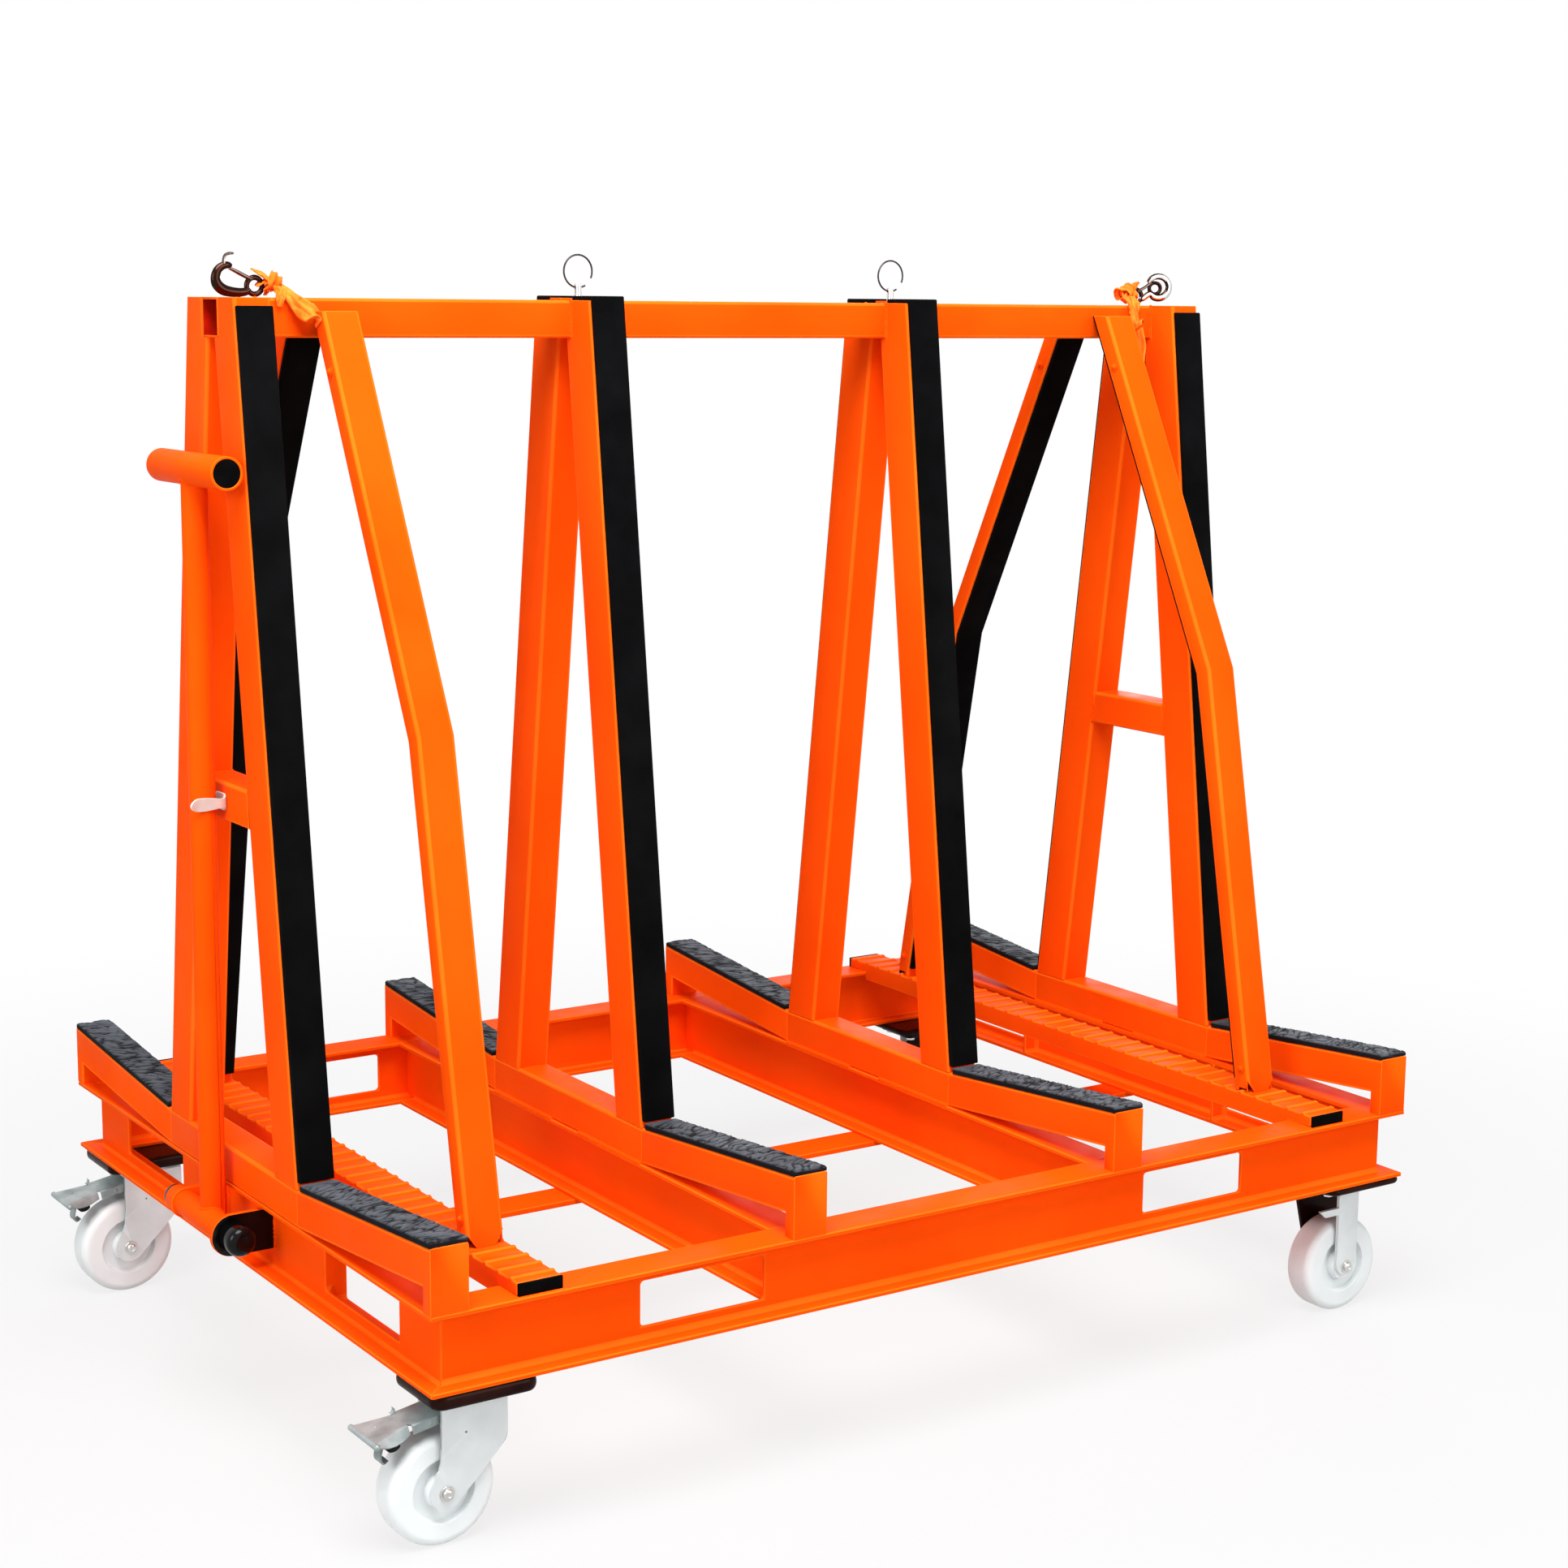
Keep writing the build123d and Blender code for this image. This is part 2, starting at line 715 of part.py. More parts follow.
# Tabs on the top bar that the pull pins go down through.
with BuildPart() as bar_tabs:
    for hand in (-1, 1):
        tab_middle = hand * (mid_frame_x - tab_pin_edge + tab_length / 2)
        with BuildSketch(Plane.XY.offset(bar_top)):
            with Locations((tab_middle, 0)):
                Rectangle(tab_length, tab_width)
            with Locations((hand * mid_frame_x, 0)):
                Circle(pin_diameter / 2 + pin_fit, mode=Mode.SUBTRACT)
        extrude(amount=tab_thickness)
save("bar_tabs", bar_tabs)

# Pull pins through the top bar, each with a wire ring through its head.
ring_bottom = bar_top + pin_above_bar - pin_diameter / 2
ring_wire_path = (ring_diameter - ring_wire) / 2


def pull_pin(x):
    """Round pin with a cross hole in its head and a bevelled tip."""
    with BuildPart() as pin:
        with BuildSketch(Plane.XY.offset(bar_bottom - pin_below_bar)):
            with Locations((x, 0)):
                Circle(pin_diameter / 2)
        extrude(amount=tube_size + pin_below_bar + pin_above_bar)
        chamfer(pin.edges().group_by(Axis.Z)[0], length=pin_tip)
        with BuildSketch(Plane(origin=(x, 0, ring_bottom), x_dir=(0, 1, 0), z_dir=(1, 0, 0))):
            Circle(ring_wire / 2 + ring_hole_fit)
        extrude(amount=pin_diameter, both=True, mode=Mode.SUBTRACT)
    return pin


def pull_ring(x):
    """Open wire ring that stands along the bar in the pin's cross hole."""
    centre = Vector(x, 0, ring_bottom + ring_wire_path)
    start = radians(ring_end_angle)
    end = centre + Vector(cos(start), 0, sin(start)) * ring_wire_path
    with BuildPart() as ring:
        with BuildSketch(Plane(origin=end, x_dir=(0, 1, 0), z_dir=(sin(start), 0, -cos(start)))):
            Circle(ring_wire / 2)
        revolve(axis=Axis(centre, (0, 1, 0)), revolution_arc=ring_arc)
    return ring


for hand, x in (("left", -mid_frame_x), ("right", mid_frame_x)):
    save(f"{hand}_pull_pin", pull_pin(x))
    save(f"{hand}_pull_ring", pull_ring(x))

# Snap hooks lying along the bar's ends, and the webbing from each hook to the front post beside it.
hook_bottom = bar_top + rest_gap
hook_tip = half_length - hook_end_inset
hook_heel = hook_tip - hook_length


def hook(hand):
    """Forged hook, a closed drop shape standing on its edge."""
    nose = (hand * (hook_tip - hook_nose_radius), hook_bottom + hook_nose_radius)
    eye = (hand * (hook_heel + hook_eye_radius), hook_bottom + hook_eye_radius)
    with BuildPart() as drop:
        with BuildSketch(Plane.XZ):
            with Locations(nose):
                Circle(hook_nose_radius)
            with Locations(eye):
                Circle(hook_eye_radius)
            make_hull()
        extrude(amount=hook_rod / 2, both=True)
        with BuildSketch(Plane.XZ):
            with Locations(nose):
                Circle(hook_nose_radius - hook_rod)
            with Locations(eye):
                Circle(hook_eye_radius - hook_rod)
            make_hull()
        extrude(amount=hook_rod / 2, both=True, mode=Mode.SUBTRACT)
        fillet(drop.edges().filter_by(Plane.XZ), radius=hook_rounding)
    return drop


def strap(hand):
    """Webbing that leaves the hook's eye, crosses the bar's front edge and lies on the post's side."""
    side_x = rail_x + post_width / 2 + rest_gap + strap_thickness / 2
    high_y = post_edge(-1, post_depth / 2, post_foot)[2][0]
    eye = Vector(hand * (hook_heel - rest_gap), 0, hook_bottom + hook_eye_radius)
    over_bar = eye + Vector(-hand * strap_over_bar[0], -strap_over_bar[1], -strap_over_bar[2])
    past_bar = eye + Vector(-hand * strap_past_bar[0], -strap_past_bar[1], -strap_past_bar[2])
    crossing = past_bar - over_bar
    level = Vector(0, 0, 1).cross(crossing) * -hand
    slant = Vector(0, -sin(upper_lean), -cos(upper_lean))
    over_face = Vector(0, cos(upper_lean), -sin(upper_lean))
    high = Vector(hand * side_x, high_y, post_top - strap_top_drop)
    stations = (
        (eye, Vector(-hand, 0, 0), Vector(0, 1, 0), strap_bunch, 2 * strap_thickness),
        (over_bar, crossing, level, strap_width, strap_thickness),
        (past_bar, crossing, level, strap_width, strap_thickness),
        (high, slant, over_face, strap_width, strap_thickness),
        (high + slant * strap_tail, slant, over_face, strap_width, strap_thickness),
    )
    with BuildPart() as webbing:
        for place, along, across, width, thickness in stations:
            with BuildSketch(Plane(origin=place, x_dir=across, z_dir=along)):
                Rectangle(width, thickness)
        loft(ruled=True)
    return webbing


for name, hand in (("left", -1), ("right", 1)):
    save(f"{name}_hook", hook(hand))
    save(f"{name}_strap", strap(hand))

# Spacer plates between the base's corners and the casters, set out to the base's sides.
casters = ((swivel_x, -caster_y), (swivel_x, caster_y), (fixed_x, -caster_y), (fixed_x, caster_y))
with BuildPart() as spacer_plates:
    with BuildSketch(Plane.XY.offset(spacer_bottom)):
        for x, y in casters:
            with Locations((x, y + spacer_shift * y / caster_y)):
                RectangleRounded(spacer_length, spacer_width, spacer_rounding)
        with Locations(*casters):
            with GridLocations(bolt_pitch_length, bolt_pitch_width, 2, 2):
                Circle(bolt_diameter / 2 + bolt_fit, mode=Mode.SUBTRACT)
    extrude(amount=spacer_thickness)
save("spacer_plates", spacer_plates)

# Bolts up through the casters' plates into the spacers.
with BuildPart() as caster_bolts:
    for x, y in casters:
        seat = race_top if x < 0 else spacer_bottom - crown_thickness
        for reach, amount in ((bolt_diameter, base_bottom - bolt_tip_gap - seat), (bolt_flats, -bolt_head)):
            with BuildSketch(Plane.XY.offset(seat)):
                with Locations((x, y)):
                    with GridLocations(bolt_pitch_length, bolt_pitch_width, 2, 2):
                        if amount > 0:
                            Circle(reach / 2)
                        else:
                            RegularPolygon(reach / 2, 6, major_radius=False)
            extrude(amount=amount)
save("caster_bolts", caster_bolts)


def bolt_plate():
    """Outline of a caster's own plate with its four bolt holes."""
    RectangleRounded(caster_plate_length, caster_plate_width, caster_plate_rounding)
    with GridLocations(bolt_pitch_length, bolt_pitch_width, 2, 2):
        Circle(bolt_diameter / 2 + bolt_fit, mode=Mode.SUBTRACT)


def cheek_plane(y):
    """Upright plane along the cart, with its second direction up and its normal towards +Y."""
    return Plane(origin=(0, y, 0), x_dir=(-1, 0, 0), z_dir=(0, 1, 0))


# Swivel heads: plate, ball race and kingpin with its nut, fixed under the left spacers.
with BuildPart() as swivel_heads:
    for y in (-caster_y, caster_y):
        with BuildSketch(Plane.XY.offset(race_top)):
            with Locations((swivel_x, y)):
                bolt_plate()
        extrude(amount=head_plate_thickness)
        with BuildSketch(Plane.XY.offset(race_bottom)):
            with Locations((swivel_x, y)):
                Circle(race_diameter / 2)
        extrude(amount=race_height)
        nut_bottom = crown_bottom - swivel_gap - kingpin_nut_height
        with BuildSketch(Plane.XY.offset(nut_bottom)):
            with Locations((swivel_x, y)):
                Circle(kingpin_diameter / 2)
        extrude(amount=race_bottom - nut_bottom)
        with BuildSketch(Plane.XY.offset(nut_bottom)):
            with Locations((swivel_x, y)):
                RegularPolygon(kingpin_nut_flats / 2, 6, major_radius=False)
        extrude(amount=kingpin_nut_height)
save("swivel_heads", swivel_heads)

# Pivot pin of the brake pedal, inside the swivel fork's crown.
pedal_pin_x = swivel_x - pedal_pin_reach
pedal_pin_level = crown_bottom - pedal_pin_drop


def swivel_fork(y):
    """Pressed fork that turns on the kingpin, with the pedal's pivot pin riveted across it.

    Each cheek is upright under the crown, then curves back to the boss round the axle.
    """
    front = crown_length / 2 - swivel_x
    back = -crown_length / 2 - swivel_x
    turn = axle_level + cheek_turn_height
    reach = -back - trail_x
    slant = atan2(cheek_turn_height, reach) - acos(cheek_end_radius / hypot(cheek_turn_height, reach))
    touch_x = cheek_end_radius * cos(slant) + trail_x
    touch_z = cheek_end_radius * sin(slant) + axle_level
    boss = (-trail_x, axle_level)
    with BuildPart() as fork:
        with BuildSketch(Plane.XY.offset(crown_bottom)):
            with Locations((swivel_x, y)):
                Rectangle(crown_length, 2 * cheek_outside)
                Circle(kingpin_diameter / 2 + kingpin_fit, mode=Mode.SUBTRACT)
        extrude(amount=crown_thickness)
        for inside in (y - cheek_outside, y + cheek_inside):
            with BuildSketch(cheek_plane(inside)) as cheek:
                Polygon(
                    (front, crown_bottom),
                    (front, axle_level),
                    boss,
                    (-touch_x, touch_z),
                    (back, turn),
                    (back, crown_bottom),
                )
                with Locations(boss):
                    Circle(cheek_end_radius)
                sweep = cheek.vertices().sort_by_distance((front, axle_level + cheek_end_radius, 0))[0]
                fillet(sweep, radius=cheek_sweep_radius)
                fillet(cheek.vertices().sort_by_distance((back, turn, 0))[0], radius=cheek_turn_radius)
                with Locations(boss):
                    Circle(axle_diameter / 2 + axle_fit, mode=Mode.SUBTRACT)
                    with Locations((-cheek_hole_reach, cheek_hole_height)):
                        Circle(cheek_hole / 2, mode=Mode.SUBTRACT)
            extrude(amount=cheek_thickness)
        fillet(fork.edges().filter_by(Axis.X).group_by(Axis.Z)[-1], radius=crown_bend)
        with BuildSketch(cheek_plane(y)):
            with Locations((-pedal_pin_x, pedal_pin_level)):
                Circle(pedal_pin_diameter / 2)
        extrude(amount=cheek_outside, both=True)
    return fork


# Fixed forks of the right casters, bolted straight to the spacers.
# The outer cheek is a narrow leg with a pointed lug, and the inner one tapers from the plate to the axle.
with BuildPart() as fixed_forks:
    plate_bottom = spacer_bottom - crown_thickness
    leg_end = axle_level + fixed_leg_width / 2 - fixed_leg_below
    for side in (-1, 1):
        with BuildSketch(Plane.XY.offset(plate_bottom)):
            with Locations((fixed_x, side * caster_y)):
                bolt_plate()
        extrude(amount=crown_thickness)
        with BuildSketch(cheek_plane(side * (caster_y + cheek_inside + cheek_thickness / 2))):
            with Locations((-fixed_x, leg_end)):
                Rectangle(fixed_leg_width, plate_bottom - leg_end, align=(Align.CENTER, Align.MIN))
                Circle(fixed_leg_width / 2)
            with Locations((-fixed_x, axle_level)):
                Polygon(
                    (0, fixed_lug_level),
                    (0, fixed_lug_level + fixed_lug_height),
                    (fixed_lug_reach, fixed_lug_level + fixed_lug_height),
                    (fixed_lug_reach - fixed_lug_point, fixed_lug_level),
                )
                Circle(axle_diameter / 2 + axle_fit, mode=Mode.SUBTRACT)
        extrude(amount=cheek_thickness / 2, both=True)
        with BuildSketch(cheek_plane(side * (caster_y - cheek_inside - cheek_thickness / 2))):
            with Locations((-fixed_x, plate_bottom)):
                Rectangle(fixed_cheek_length, crown_thickness, align=(Align.CENTER, Align.MAX))
            with Locations((-fixed_x, axle_level)):
                Circle(cheek_end_radius)
            make_hull()
            with Locations((-fixed_x, axle_level)):
                Circle(axle_diameter / 2 + axle_fit, mode=Mode.SUBTRACT)
            with Locations((-fixed_x, plate_bottom)):
                with GridLocations(bolt_pitch_length, 0, 2, 1):
                    Rectangle(bolt_flats + 2 * bolt_room, 2 * (bolt_head + bolt_room), mode=Mode.SUBTRACT)
        extrude(amount=cheek_thickness / 2, both=True)
save("fixed_forks", fixed_forks)


def axles(*places):
    """Axle bolts through the forks, each with a hexagon head and a nut outside the cheeks."""
    with BuildPart() as bolts:
        for x, y in places:
            with BuildSketch(cheek_plane(y)):
                with Locations((-x, axle_level)):
                    Circle(axle_diameter / 2)
            extrude(amount=cheek_outside, both=True)
            for start in (y - cheek_outside - axle_head, y + cheek_outside):
                with BuildSketch(cheek_plane(start)):
                    with Locations((-x, axle_level)):
                        RegularPolygon(axle_flats / 2, 6, major_radius=False)
                extrude(amount=axle_head)
    return bolts


save("fixed_axles", axles((fixed_x, -caster_y), (fixed_x, caster_y)))


def wheel(x, y):
    """Nylon wheel turned in one piece, with dished sides and a wider hub."""
    rim_inside = (wheel_diameter - 2 * wheel_rim) / 2
    dish = wheel_width / 2 - wheel_recess
    with BuildPart() as turned:
        with BuildSketch(Plane(origin=(x, y, axle_level), x_dir=(1, 0, 0), z_dir=(0, 0, 1))) as section:
            with BuildLine():
                Polyline(
                    (axle_diameter / 2 + axle_fit, 0),
                    (axle_diameter / 2 + axle_fit, hub_width / 2),
                    (hub_diameter / 2, hub_width / 2),
                    (hub_diameter / 2 + recess_slope, dish),
                    (rim_inside - recess_slope, dish),
                    (rim_inside, wheel_width / 2),
                    (wheel_diameter / 2, wheel_width / 2),
                    (wheel_diameter / 2, 0),
                )
                mirror(about=Plane.XZ)
            make_face()
            corners = section.vertices().group_by(Axis.X)[-1].sort_by(Axis.Y)
            fillet([corners[0], corners[-1]], radius=wheel_edge_radius)
        revolve(axis=Axis((x, y, axle_level), (0, 1, 0)))
    return turned


def brake_pedal(y):
    """Pressed pedal: a flared tread plate with side flanges, a rolled lip and a brake shoe."""
    slope = radians(pedal_slope)
    inside = cheek_inside - pedal_side_gap
    outwards = (-cos(slope), 0, -sin(slope))
    upwards = (-sin(slope), 0, cos(slope))
    sheet = Plane(origin=(pedal_pin_x, y, pedal_pin_level), x_dir=outwards, z_dir=upwards)
    pressed = radians(pedal_slope + pedal_press)
    away_x = pedal_pin_x - trail_x - shoe_start * cos(pressed)
    away_z = pedal_pin_level - axle_level - shoe_start * sin(pressed)
    down = away_z * cos(pressed) - away_x * sin(pressed)
    near = axle_level + shoe_gap
    shoe_bottom = sqrt(down**2 - away_x**2 - away_z**2 + near**2) - down
    with BuildPart() as pedal:
        with BuildSketch(sheet.offset(pedal_rise)):
            Polygon(
                (-pedal_tail, -inside),
                (pedal_neck, -inside),
                (pedal_flare, -pedal_lip_width / 2),
                (pedal_reach, -pedal_lip_width / 2),
                (pedal_reach, pedal_lip_width / 2),
                (pedal_flare, pedal_lip_width / 2),
                (pedal_neck, inside),
                (-pedal_tail, inside),
            )
        extrude(amount=-pedal_sheet)
        with BuildSketch(sheet.offset(pedal_rise)):
            with GridLocations(0, 2 * inside - pedal_sheet, 1, 2):
                with Locations((-pedal_tail, 0)):
                    Rectangle(pedal_tail + pedal_neck, pedal_sheet, align=(Align.MIN, Align.CENTER))
        extrude(amount=-pedal_flange_depth)
        with BuildSketch(sheet.offset(pedal_rise)):
            for hand in (-1, 1):
                Polygon(
                    (pedal_neck, hand * inside),
                    (pedal_flare, hand * pedal_lip_width / 2),
                    (pedal_reach, hand * pedal_lip_width / 2),
                    (pedal_reach, hand * (pedal_lip_width / 2 - pedal_sheet)),
                    (pedal_flare, hand * (pedal_lip_width / 2 - pedal_sheet)),
                    (pedal_neck, hand * (inside - pedal_sheet)),
                )
        extrude(amount=-pedal_skirt_depth)
        with BuildSketch(sheet.offset(pedal_rise)):
            with Locations((shoe_start, 0)):
                Rectangle(shoe_length, shoe_width, align=(Align.MIN, Align.CENTER))
        extrude(amount=shoe_bottom - pedal_rise)
        with Locations(sheet.offset(pedal_rise - pedal_lip_radius)):
            with Locations((pedal_reach, 0, 0)):
                Cylinder(pedal_lip_radius, pedal_lip_width, rotation=(90, 0, 0))
        with Locations(sheet):
            pin_hole = pedal_pin_diameter / 2 + pedal_pin_fit
            Cylinder(pin_hole, 2 * inside, rotation=(90, 0, 0), mode=Mode.SUBTRACT)
    return pedal


for row, y in (("front", -caster_y), ("rear", caster_y)):
    save(f"{row}_swivel_fork", swivel_fork(y))
    save(f"{row}_swivel_axle", axles((trail_x, y)))
    save(f"{row}_brake_pedal", brake_pedal(y))
    save(f"{row}_left_wheel", wheel(trail_x, y))
    save(f"{row}_right_wheel", wheel(fixed_x, y))
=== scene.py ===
import bmesh
import bpy
import json
from math import cos, pi, radians, sin, tau
from mathutils import Matrix, Vector, noise

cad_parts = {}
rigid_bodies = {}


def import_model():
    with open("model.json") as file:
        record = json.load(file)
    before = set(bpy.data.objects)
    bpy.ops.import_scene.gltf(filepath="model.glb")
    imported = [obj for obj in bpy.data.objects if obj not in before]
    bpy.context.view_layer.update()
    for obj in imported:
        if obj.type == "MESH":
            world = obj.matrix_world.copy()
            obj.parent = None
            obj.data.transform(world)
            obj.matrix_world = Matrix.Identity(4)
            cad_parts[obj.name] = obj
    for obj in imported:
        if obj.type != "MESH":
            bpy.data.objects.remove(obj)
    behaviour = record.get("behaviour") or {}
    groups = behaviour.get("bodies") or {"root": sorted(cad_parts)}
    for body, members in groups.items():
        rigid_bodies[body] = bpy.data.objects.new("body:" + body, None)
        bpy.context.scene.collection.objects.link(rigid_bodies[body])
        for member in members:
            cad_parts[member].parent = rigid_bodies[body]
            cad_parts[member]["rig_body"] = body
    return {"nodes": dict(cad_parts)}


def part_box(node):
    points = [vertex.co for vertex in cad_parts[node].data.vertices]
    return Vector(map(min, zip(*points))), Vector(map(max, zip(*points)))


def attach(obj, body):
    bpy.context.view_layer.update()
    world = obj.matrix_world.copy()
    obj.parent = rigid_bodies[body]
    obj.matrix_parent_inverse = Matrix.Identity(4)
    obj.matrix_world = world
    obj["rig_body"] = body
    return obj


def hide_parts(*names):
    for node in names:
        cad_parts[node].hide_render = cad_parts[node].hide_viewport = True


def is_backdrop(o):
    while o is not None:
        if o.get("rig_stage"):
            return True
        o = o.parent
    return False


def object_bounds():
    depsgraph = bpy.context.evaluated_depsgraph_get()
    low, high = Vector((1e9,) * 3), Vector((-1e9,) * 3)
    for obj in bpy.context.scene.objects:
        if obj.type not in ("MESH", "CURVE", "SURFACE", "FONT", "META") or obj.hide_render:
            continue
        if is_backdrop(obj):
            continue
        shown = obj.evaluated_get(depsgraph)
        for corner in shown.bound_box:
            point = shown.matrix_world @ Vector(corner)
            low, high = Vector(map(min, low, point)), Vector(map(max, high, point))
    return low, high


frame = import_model()
cad_low, cad_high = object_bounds()
scene = bpy.context.scene
scene.view_settings.view_transform = "Standard"

# Studio: a pale floor that runs out of sight, a white surround, and four soft lamps.
# The camera has a long lens, stands at the front left and looks a little down.
camera_place = Vector((-2.1235, -3.331, 1.461))
camera_yaw, camera_pitch, camera_roll = radians(33.87), radians(9.85), radians(0.56)
photo_width, focal_pixels, sensor = 1932, 3434, 36.0
lens = bpy.data.cameras.new("photo_lens")
lens.sensor_width = sensor
lens.lens = focal_pixels / photo_width * sensor
camera = bpy.data.objects.new("camera", lens)
aim = Matrix.Rotation(-camera_yaw, 4, "Z") @ Matrix.Rotation(pi / 2 - camera_pitch, 4, "X")
camera.matrix_world = Matrix.Translation(camera_place) @ aim @ Matrix.Rotation(camera_roll, 4, "Z")
scene.collection.objects.link(camera)
scene.camera = camera


def add_node(tree, kind, inputs=None, **settings):
    """Add a node to a tree, with its settings and the values of its inputs."""
    node = tree.nodes.new(kind)
    for key, value in settings.items():
        setattr(node, key, value)
    for key, value in (inputs or {}).items():
        socket = node.inputs[key]
        if isinstance(value, bpy.types.NodeSocket):
            tree.links.new(value, socket)
        else:
            socket.default_value = value
    return node


def seen_rays(tree):
    """How far a ray comes from the camera, a mirror or glass."""
    path = add_node(tree, "ShaderNodeLightPath")
    either = add_node(tree, "ShaderNodeMath", {0: path.outputs["Is Camera Ray"], 1: path.outputs["Is Glossy Ray"]},
                      operation="MAXIMUM")
    return add_node(tree, "ShaderNodeMath", {0: either.outputs[0], 1: path.outputs["Is Transmission Ray"]},
                    operation="MAXIMUM").outputs[0]


surround_light = 0.30
surround = bpy.data.worlds.new("white_surround")
scene.world = surround
surround.use_nodes = True
sky = surround.node_tree
sky.nodes.clear()
lit = add_node(sky, "ShaderNodeBackground", {"Color": (1, 1, 1, 1), "Strength": surround_light})
shown = add_node(sky, "ShaderNodeBackground", {"Color": (1, 1, 1, 1), "Strength": 1.0})
chosen = add_node(sky, "ShaderNodeMixShader", {0: seen_rays(sky), 1: lit.outputs[0], 2: shown.outputs[0]})
add_node(sky, "ShaderNodeOutputWorld", {"Surface": chosen.outputs[0]})

floor_reach = 30.0
floor_white, floor_glow = 0.50, 0.80
fade_start, fade_end = 1.0, 2.8
floor_mesh = bpy.data.meshes.new("studio_floor")
corners = [(-floor_reach, -floor_reach, 0), (floor_reach, -floor_reach, 0),
           (floor_reach, floor_reach, 0), (-floor_reach, floor_reach, 0)]
floor_mesh.from_pydata(corners, [], [(0, 1, 2, 3)])
floor = bpy.data.objects.new("studio_floor", floor_mesh)
scene.collection.objects.link(floor)
floor_paper = bpy.data.materials.new("studio_paper")
floor_paper.use_nodes = True
paper = floor_paper.node_tree
paper.nodes.clear()
matt = add_node(paper, "ShaderNodeBsdfDiffuse", {"Color": (floor_white, floor_white, floor_white, 1)})
glow = add_node(paper, "ShaderNodeEmission", {"Color": (1, 1, 1, 1), "Strength": 1.0})
spot = add_node(paper, "ShaderNodeTexCoord").outputs["Object"]
away = add_node(paper, "ShaderNodeVectorMath", {0: spot}, operation="LENGTH").outputs["Value"]
fade = {"Value": away, "From Min": fade_start, "From Max": fade_end, "To Min": floor_glow, "To Max": 1.0}
faded = add_node(paper, "ShaderNodeMapRange", fade, interpolation_type="SMOOTHSTEP")
share = add_node(paper, "ShaderNodeMath", {0: seen_rays(paper), 1: faded.outputs["Result"]}, operation="MULTIPLY")
laid = add_node(paper, "ShaderNodeMixShader", {0: share.outputs[0], 1: matt.outputs[0], 2: glow.outputs[0]})
add_node(paper, "ShaderNodeOutputMaterial", {"Surface": laid.outputs[0]})
floor_mesh.materials.append(floor_paper)
floor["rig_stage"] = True

cart_middle = Vector((0, 0, 0.65))
# place, width and power of each lamp
lamps = {
    "overhead_lamp": ((-1.1, -1.6, 4.2), 2.8, 260.0),
    "left_lamp": ((-5.0, -1.6, 2.6), 2.6, 115.0),
    "front_lamp": ((1.8, -5.2, 2.4), 3.0, 100.0),
    "rear_lamp": ((4.0, 4.4, 2.6), 3.0, 130.0),
}
for name, (place, size, power) in lamps.items():
    lamp = bpy.data.lights.new(name, "AREA")
    lamp.shape, lamp.size, lamp.energy = "DISK", size, power
    stand = bpy.data.objects.new(name, lamp)
    stand.location = place
    stand.rotation_mode = "QUATERNION"
    stand.rotation_quaternion = (cart_middle - Vector(place)).to_track_quat("-Z", "Y")
    scene.collection.objects.link(stand)

# Base beams: hot-rolled I-beams, mitred at the corners, welded, ground flush and powder coated orange.
# The rolled root between web and flange is a fillet, and the flange tips are slightly rounded.
merge_reach, flat_turn, edge_turn = 1e-5, radians(0.5), radians(25)
along_grain, short_edge = 0.8, 0.025
least_round, round_steps = 1e-6, 3


def cloudy(tree, scale, detail, stretch=(1, 1, 1)):
    """Noise in the object's own coordinates, in features per metre."""
    place = add_node(tree, "ShaderNodeTexCoord").outputs["Object"]
    turned = add_node(tree, "ShaderNodeMapping", {"Vector": place, "Scale": stretch})
    return add_node(tree, "ShaderNodeTexNoise",
                    {"Vector": turned.outputs[0], "Scale": scale, "Detail": detail}).outputs["Fac"]


def blended(tree, fac, low, high, low_colour, high_colour):
    """Colour that goes from one to another as a noise goes from low to high."""
    ramp = add_node(tree, "ShaderNodeValToRGB", {"Fac": fac})
    ramp.color_ramp.elements[0].position, ramp.color_ramp.elements[0].color = low, (*low_colour, 1)
    ramp.color_ramp.elements[1].position, ramp.color_ramp.elements[1].color = high, (*high_colour, 1)
    return ramp.outputs["Color"]


def between(tree, fac, low, high, start=0.3, end=0.7):
    """A number that goes from low to high as a noise goes from its start to its end."""
    span = {"Value": fac, "From Min": start, "From Max": end, "To Min": low, "To Max": high}
    return add_node(tree, "ShaderNodeMapRange", span).outputs["Result"]


def surface(name, colours, clouds, gloss, shine, grain=None, fixed=None):
    """Material with clouds of colour, uneven gloss and a raised grain.

    Clouds, shine and grain begin with a noise's features per metre and its detail. Clouds add where in the noise the
    colours begin and end, and grain adds its strength, its depth and any stretch. Fixed values go on the shader.
    """
    made = bpy.data.materials.new(name)
    made.use_nodes = True
    tree = made.node_tree
    shader = tree.nodes["Principled BSDF"]
    scale, detail, *limits = clouds
    tree.links.new(blended(tree, cloudy(tree, scale, detail), *limits, *colours), shader.inputs["Base Color"])
    tree.links.new(between(tree, cloudy(tree, *shine), *gloss), shader.inputs["Roughness"])
    if grain:
        scale, detail, strength, depth, *stretch = grain
        height = cloudy(tree, scale, detail, *stretch)
        bump = add_node(tree, "ShaderNodeBump", {"Height": height, "Strength": strength, "Distance": depth})
        tree.links.new(bump.outputs["Normal"], shader.inputs["Normal"])
    for socket, value in (fixed or {}).items():
        shader.inputs[socket].default_value = value
    return made


def powder_coat(name, deep, light):
    """Orange powder coat: faint clouds of colour, orange peel and uneven gloss."""
    return surface(name, (deep, light), clouds=(5, 4, 0.3, 0.72), gloss=(0.36, 0.50), shine=(26, 3),
                   grain=(520, 2, 0.12, 0.0006), fixed={"IOR": 1.05})


